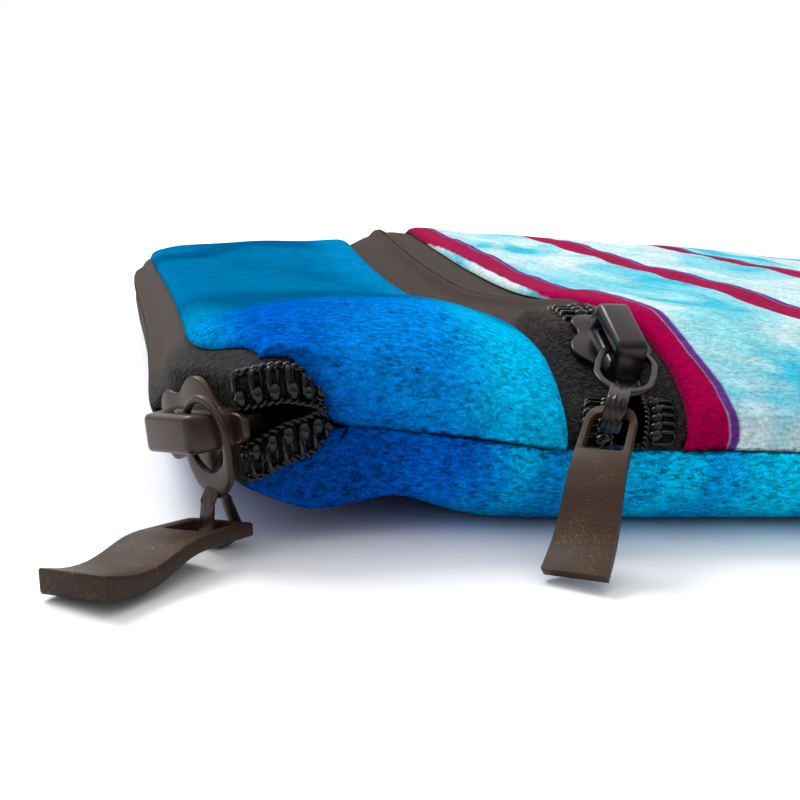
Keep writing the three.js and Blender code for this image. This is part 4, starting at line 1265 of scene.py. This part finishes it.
# %% A finish with its nodes
class Finish:
    def __init__(self, name, **constants):
        self.material = bpy.data.materials.new(name)
        self.material.use_nodes = True
        self.tree = self.material.node_tree
        self.shader = self.tree.nodes["Principled BSDF"]
        for socket, value in constants.items():
            self.shader.inputs[socket.replace("_", " ")].default_value = value

    def node(self, kind, settings, sockets, output=0):
        node = self.tree.nodes.new(kind)
        for name, value in settings.items():
            setattr(node, name, value)
        for name, value in sockets.items():
            self.feed(node.inputs[name], value)
        return Value(self, node.outputs[output])

    def feed(self, socket, value):
        if isinstance(value, Value):
            self.tree.links.new(value.socket, socket)
        else:
            socket.default_value = value

    def give(self, socket, value):
        self.feed(self.shader.inputs[socket], value)

    def place(self, output="Object"):
        return self.node("ShaderNodeTexCoord", {}, {}, output)

    def scaled(self, vector, scale, turn=(0, 0, 0)):
        return self.node("ShaderNodeMapping", {}, {"Vector": vector, "Scale": scale, "Rotation": turn})

    def axis(self, vector, name):
        return self.node("ShaderNodeSeparateXYZ", {}, {0: vector}, name)

    def noise(self, vector, scale, detail=2.0, roughness=0.5, distortion=0.0):
        sockets = {"Vector": vector, "Scale": scale, "Detail": detail}
        sockets.update({"Roughness": roughness, "Distortion": distortion})
        return self.node("ShaderNodeTexNoise", {}, sockets)

    def mix(self, share, low, high):
        return self.node("ShaderNodeMix", {"data_type": "RGBA"}, {0: share, 6: low, 7: high}, 2)

    def step(self, value, low, high):
        settings = {"interpolation_type": "SMOOTHSTEP"}
        return self.node("ShaderNodeMapRange", settings, {0: value, 1: low, 2: high, 3: 0.0, 4: 1.0})

    def brighter(self, base_colour, share):
        return self.node("ShaderNodeVectorMath", {"operation": "SCALE"}, {0: base_colour, "Scale": share})

    def sine(self, value):
        return self.node("ShaderNodeMath", {"operation": "SINE"}, {0: value})

    def fraction(self, value):
        return self.node("ShaderNodeMath", {"operation": "FRACT"}, {0: value})

    def bump(self, height, distance, strength=1.0):
        sockets = {"Height": height, "Distance": distance, "Strength": strength}
        self.give("Normal", self.node("ShaderNodeBump", {}, sockets))


def colour(red, green, blue):
    def linear(share):
        value = share / 255
        return value / 12.92 if value <= 0.04045 else ((value + 0.055) / 1.055) ** 2.4
    return (linear(red), linear(green), linear(blue), 1.0)


print("a middle grey of 128 is", round(colour(128, 128, 128)[0], 3), "in light")

# %% [markdown]
# ## The velvet's finish
# Plush velvet has a dense short pile. It is dark where one looks straight into it and pale at grazing edges,
# which the sheen lobe gives. Fine noise stands for the tufts, stretched noise for strokes along the pouch,
# and slower noise for where the pile lies another way. The dye is a soft watercolour wash, with painted
# light in it: a painted highlight along the blue panel's near lip, painted shade on the back's left end,
# and a thin dark line of painted shade in every seam's crease.

# %% Pile shared by the three panels
PILE = {"Roughness": 1.0, "Specular_IOR_Level": 0.0, "Sheen_Weight": 0.1, "Sheen_Roughness": 0.3}


def pile(finish, place, base_colour, contrast):
    tufts = finish.noise(place, 3400.0, 2.0, 0.6)
    strokes = finish.noise(finish.scaled(place, (0.42, 0.8, 1.0), (0.1, 0.3, 0.2)), 2600.0, 3.0, 0.6)
    lie = finish.noise(place, 260.0, 3.0, 0.55)
    shade = (tufts - 0.5) * 0.9 + (strokes - 0.5) * 1.6 + (lie - 0.5) * 0.5
    # Painted shade: the colour drops to 0.3 in a thin line along each seam, where the crease is.
    from_seam = finish.axis(finish.place("UV"), "X") + (strokes - 0.5) * 0.0012
    seam_crease_shade = 0.3 + finish.step(from_seam, 0.0, 0.0006) * 0.7
    finish.give("Base Color", finish.brighter(base_colour, (1.0 + shade * contrast) * seam_crease_shade))
    finish.bump(tufts * 0.5 + strokes, 0.0003, 0.3)


# %% Blue velvet of the upper panel
blue = Finish("blue_velvet", Sheen_Tint=(0.0, 0.42, 1.0, 1), Specular_Tint=(0.0, 0.5, 1.0, 1), **PILE)
place = blue.place()
wash = blue.noise(blue.scaled(place, (1.0, 0.6, 1.0)), 34.0, 3.0, 0.5, 0.8)
drift = (wash - 0.5) * 0.02
back_share = blue.step(blue.axis(place, "Y") + drift * 0.3, -0.068, -0.059)
tape_share = blue.step(blue.axis(place, "X") + drift, -0.057, -0.047)
far_share = blue.step(blue.axis(place, "Y") + drift * 0.3, -0.062, -0.04)
# Painted highlight: near the lip at the left end, away from the far side, the blue is lightened.
lip_highlight_share = 1 - blue.step(blue.axis(place, "X") + drift * 0.2, -0.0815, -0.076)
middle_share = blue.step(blue.axis(place, "X") + drift, -0.076, -0.062)
royal = blue.mix(blue.step(wash, 0.38, 0.64), colour(0, 78, 168), colour(0, 98, 192))
middle = blue.mix(blue.step(wash, 0.38, 0.64), colour(0, 94, 176), colour(0, 124, 204))
rear = blue.mix(blue.step(wash, 0.4, 0.62), colour(0, 76, 116), colour(0, 98, 144))
front = blue.mix(tape_share, blue.mix(middle_share, royal, middle), colour(0, 168, 216))
rear = blue.mix(tape_share, rear, colour(0, 116, 168))
panel_colour = blue.mix(back_share, front, rear)
# The painted highlight along the near lip is mixed into the panel's colour here.
panel_colour = blue.mix(lip_highlight_share * (1 - far_share) * 0.6, panel_colour, colour(0, 140, 186))
pile(blue, place, panel_colour, 1.6 - back_share * 0.8)
print("blue velvet nodes:", len(blue.tree.nodes))

# %% Striped velvet of the pocket panel
STRIPE_PITCH = 0.026
STRIPE_WIDE = 0.0052
STRIPE_FIRST = -0.0333
BLEED = 0.0004
EDGE_WIDE = 0.001

striped = Finish("striped_velvet", Sheen_Tint=(0.6, 0.85, 1.0, 1), Specular_Tint=(0.7, 0.85, 1.0, 1), **PILE)
place = striped.place()
wash = striped.noise(striped.scaled(place, (1.0, 0.5, 1.0)), 44.0, 3.0, 0.5, 1.0)
pale = striped.mix(striped.step(wash, 0.34, 0.43), colour(56, 170, 194), colour(128, 192, 202))
near_share = 1 - striped.step(striped.axis(place, "Y"), -0.082, -0.066)
ground = striped.mix(striped.step(wash + near_share * 0.12, 0.42, 0.53), pale, colour(184, 206, 210))
bleed = striped.noise(place, 240.0, 2.0) - 0.5
along_x = striped.axis(place, "X") + bleed * 0.0006 - STRIPE_FIRST
turn = striped.fraction(along_x / STRIPE_PITCH + 8.0) * STRIPE_PITCH
crimson_share = striped.step(turn, 0.0, BLEED) * (1 - striped.step(turn, STRIPE_WIDE, STRIPE_WIDE + BLEED))
edge_share = striped.step(turn, STRIPE_WIDE, STRIPE_WIDE + BLEED)
edge_share = edge_share * (1 - striped.step(turn, STRIPE_WIDE + EDGE_WIDE, STRIPE_WIDE + EDGE_WIDE + BLEED))
panel_colour = striped.mix(crimson_share, ground, colour(142, 0, 60))
panel_colour = striped.mix(edge_share, panel_colour, colour(92, 44, 118))
pile(striped, place, panel_colour, 0.9)
print("striped velvet nodes:", len(striped.tree.nodes))

# %% Blue velvet of the back
azure = Finish("back_velvet", Sheen_Tint=(0.0, 0.5, 1.0, 1), Specular_Tint=(0.0, 0.5, 1.0, 1), **PILE)
place = azure.place()
streaks = azure.noise(azure.scaled(place, (1.0, 0.5, 0.12)), 110.0, 3.0, 0.55, 0.4)
side_share = azure.step(azure.axis(place, "X") + (streaks - 0.5) * 0.016, -0.06, -0.04)
deep = azure.mix(azure.step(streaks, 0.4, 0.62), colour(0, 84, 184), colour(0, 116, 216))
light = azure.mix(azure.step(streaks, 0.38, 0.64), colour(0, 146, 210), colour(0, 184, 222))
# Painted shade: the back's left end, under the open mouth, is given a darker blue.
corner_shade_share = 1 - azure.step(azure.axis(place, "X") + (streaks - 0.5) * 0.01, -0.066, -0.056)
deep = azure.mix(corner_shade_share, deep, colour(0, 62, 140))
pile(azure, place, azure.mix(side_share, deep, light), 1.9)
print("back velvet nodes:", len(azure.tree.nodes))

# %% [markdown]
# ## Woven tape, nylon and paint
# The tape is woven in narrow ribs along its length with small cross stitches. The coil is glossy nylon. The
# castings have satin black paint, and the tabs a bronze black that is faintly speckled.

# %% Woven tape
TWILL = 0.0005
woven = Finish("woven_tape", Specular_IOR_Level=0.12, Sheen_Weight=0.05, Sheen_Roughness=0.5)
weave = woven.place("UV")
across_tape = woven.axis(weave, "X")
along_tape = woven.axis(weave, "Y")
twill = woven.sine((across_tape * 0.6 + along_tape) * (2 * math.pi / TWILL))
place = woven.place()
fray = woven.noise(place, 2600.0, 3.0)
knit = woven.noise(place, 1500.0, 2.0, 0.7)
# Painted shade: the first few centimetres of each tape, more at the main zip's mouth, are painted near black,
# and their fuzz is coarser; further along the tape has its brown weave colour.
mouth_share = 1 - woven.step(woven.axis(place, "X"), -0.066, -0.06)
past_shade_and_fuzz = woven.step(along_tape - mouth_share * 0.011, 0.014, 0.034)
height = twill * 0.25 + (fray - 0.5) * 3.0 + (knit - 0.5) * (1 - past_shade_and_fuzz) * 9.0
dark = woven.mix(past_shade_and_fuzz, colour(3, 3, 3), colour(28, 20, 16))
light = woven.mix(past_shade_and_fuzz, colour(36, 32, 31), colour(76, 59, 47))
woven.give("Base Color", woven.mix(woven.step(height, -0.9, 1.3), dark, light))
woven.give("Roughness", 0.7 + fray * 0.25)
woven.bump(height, 0.0001, 0.7)
print("woven tape nodes:", len(woven.tree.nodes))

# %% Nylon coil
nylon = Finish("black_nylon", Specular_IOR_Level=0.3)
place = nylon.place()
scuff = nylon.noise(place, 900.0, 3.0)
nylon.give("Base Color", nylon.mix(scuff, colour(4, 4, 5), colour(14, 13, 14)))
nylon.give("Roughness", 0.03 + scuff * 0.08)
nylon.bump(nylon.noise(place, 2400.0, 2.0), 0.00005, 0.2)
print("nylon nodes:", len(nylon.tree.nodes))

# %% Satin black paint
black = Finish("satin_black_paint", Specular_IOR_Level=0.38, Specular_Tint=(1.0, 0.88, 0.82, 1))
place = black.place()
cloud = black.noise(place, 260.0, 3.0)
grain = black.noise(place, 5200.0, 2.0)
pocket_share = black.step(black.axis(place, "X"), -0.066, -0.056)
brown = black.mix(cloud, colour(24, 15, 11), colour(52, 36, 28))
darker = black.mix(cloud, colour(6, 5, 6), colour(18, 16, 18))
black.give("Base Color", black.mix(pocket_share, brown, darker))
black.give("Roughness", 0.22 + cloud * 0.12 + grain * 0.08 - pocket_share * 0.06)
black.bump(grain, 0.00003, 0.3)
print("black paint nodes:", len(black.tree.nodes))

# %% Speckled bronze black paint
bronze = Finish("bronze_black_paint", Specular_IOR_Level=0.22, Specular_Tint=(1.0, 0.9, 0.84, 1))
place = bronze.place()
cloud = bronze.noise(place, 180.0, 3.0)
speck = bronze.noise(place, 9500.0, 2.0)
patch = bronze.step(bronze.noise(place, 420.0, 3.0), 0.5, 0.68)
# Painted shade: the narrow side faces are near black, and the broad faces keep the bronze brown.
rubbed = bronze.axis(bronze.place("UV"), "X")
brown = bronze.mix(cloud, colour(42, 27, 19), colour(66, 45, 32))
ground = bronze.mix(rubbed, colour(14, 11, 11), brown)
glint = bronze.step(speck, 0.58, 0.68) * (0.1 + patch * 0.45)
bronze.give("Base Color", bronze.mix(glint, ground, colour(186, 146, 86)))
bronze.give("Roughness", 0.34 + cloud * 0.14 + speck * 0.12)
bronze.bump(speck, 0.00003, 0.4)
print("bronze paint nodes:", len(bronze.tree.nodes))

# %% [markdown]
# ## Tie each piece to the CAD model
# Every piece rides on the part's one body, stands for its CAD node, and has a finish.

# %% Pieces, nodes, slots and finishes
DRESSED = [
    (upper_velvet, "front_upper_panel", "blue_velvet", blue),
    (pocket_velvet, "front_pocket_panel", "striped_velvet", striped),
    (back_velvet, "back_panel", "back_velvet", azure),
    (main_tape_lower, "main_zip_tape_lower", "zip_tape", woven),
    (main_tape_upper, "main_zip_tape_upper", "zip_tape", woven),
    (pocket_tape_left, "pocket_zip_tape_left", "zip_tape", woven),
    (pocket_tape_right, "pocket_zip_tape_right", "zip_tape", woven),
    (main_teeth_lower, "main_zip_coil_lower", "zip_coil", nylon),
    (main_teeth_upper, "main_zip_coil_upper", "zip_coil", nylon),
    (pocket_teeth_left, "pocket_zip_coil_left", "zip_coil", nylon),
    (pocket_teeth_right, "pocket_zip_coil_right", "zip_coil", nylon),
    (main_slider, "main_slider", "black_paint", black),
    (pocket_slider, "pocket_slider", "black_paint", black),
    (main_ring, "main_pull_ring", "black_paint", black),
    (pocket_ring, "pocket_pull_ring", "black_paint", black),
    (main_tab, "main_pull_tab", "bronze_paint", bronze),
    (pocket_tab, "pocket_pull_tab", "bronze_paint", bronze),
]
for piece, node, slot, finish in DRESSED:
    piece.data.materials.clear()
    piece.data.materials.append(finish.material)
    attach(piece, "root")
    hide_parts(node)
print("dressed pieces:", len(DRESSED))


# %% Cloth pieces
MAIN_TAPE = (0.0072, 0.186)
POCKET_TAPE = (0.0086, 0.172)
TAPE_CUTS = [
    (main_tape_lower, MAIN_TAPE),
    (main_tape_upper, MAIN_TAPE),
    (pocket_tape_left, POCKET_TAPE),
    (pocket_tape_right, POCKET_TAPE),
]
for tape, (wide, long) in TAPE_CUTS:
    wide * long
    print(tape.name, "is cut from", round(wide * long * 1e6), "square mm of tape")

# %% [markdown]
# ## Floor and light
# The photo has a white table in a bright white room. A pale plane and a bright world give that, with one
# large soft lamp behind on the left, so that the soft shadow falls forward and to the right. The room is
# brightest overhead, so dark castings show bright edges on deep faces.

# %% Floor
floor_data = bpy.data.meshes.new("floor")
FLOOR_HALF = 0.6
floor_corners = [(x * FLOOR_HALF, y * FLOOR_HALF, 0) for x, y in ((-1, -1), (1, -1), (1, 1), (-1, 1))]
floor_data.from_pydata(floor_corners, [], [(0, 1, 2, 3)])
floor = bpy.data.objects.new("floor", floor_data)
scene.collection.objects.link(floor)
floor_finish = Finish("white_table", Roughness=0.7, Specular_IOR_Level=0.2)
floor_finish.give("Base Color", (0.93, 0.93, 0.94, 1))
floor_data.materials.append(floor_finish.material)


# %% Lamps
def add_lamp(name, position, aim, size, power):
    lamp_data = bpy.data.lights.new(name, "AREA")
    lamp_data.shape = "DISK"
    lamp_data.size = size
    lamp_data.energy = power
    lamp = bpy.data.objects.new(name, lamp_data)
    lamp.location = position
    lamp.rotation_mode = "QUATERNION"
    lamp.rotation_quaternion = (Vector(aim) - Vector(position)).to_track_quat("-Z", "Y")
    scene.collection.objects.link(lamp)
    return lamp


add_lamp("window_lamp", (-0.45, 0.4, 0.8), (-0.05, -0.05, 0), 0.5, 6.5)
print("lamps:", 1)

# %% White room
ROOM_LOW = 0.36
ROOM_HIGH = 1.45
ROOM_WAY = (-0.15, 0.3, 0.94)
world = bpy.data.worlds.new("white_room")
world.use_nodes = True
room = world.node_tree
way = room.nodes.new("ShaderNodeTexCoord")
toward = room.nodes.new("ShaderNodeVectorMath")
toward.operation = "DOT_PRODUCT"
toward.inputs[1].default_value = ROOM_WAY
dim = room.nodes.new("ShaderNodeMapRange")
room.links.new(way.outputs["Generated"], toward.inputs[0])
room.links.new(toward.outputs["Value"], dim.inputs["Value"])
dim.inputs["To Min"].default_value = ROOM_LOW
dim.inputs["To Max"].default_value = ROOM_HIGH
lit = room.nodes["Background"]
room.links.new(dim.outputs["Result"], lit.inputs["Strength"])
lit.inputs["Color"].default_value = (1, 1, 1, 1)
seen = room.nodes.new("ShaderNodeBackground")
seen.inputs["Color"].default_value = (1, 1, 1, 1)
path = room.nodes.new("ShaderNodeLightPath")
both = room.nodes.new("ShaderNodeMixShader")
room.links.new(path.outputs["Is Camera Ray"], both.inputs[0])
room.links.new(lit.outputs[0], both.inputs[1])
room.links.new(seen.outputs[0], both.inputs[2])
room.links.new(both.outputs[0], room.nodes["World Output"].inputs["Surface"])
scene.world = world
scene.view_settings.view_transform = "Standard"
print("room light from", ROOM_LOW, "to", ROOM_HIGH)
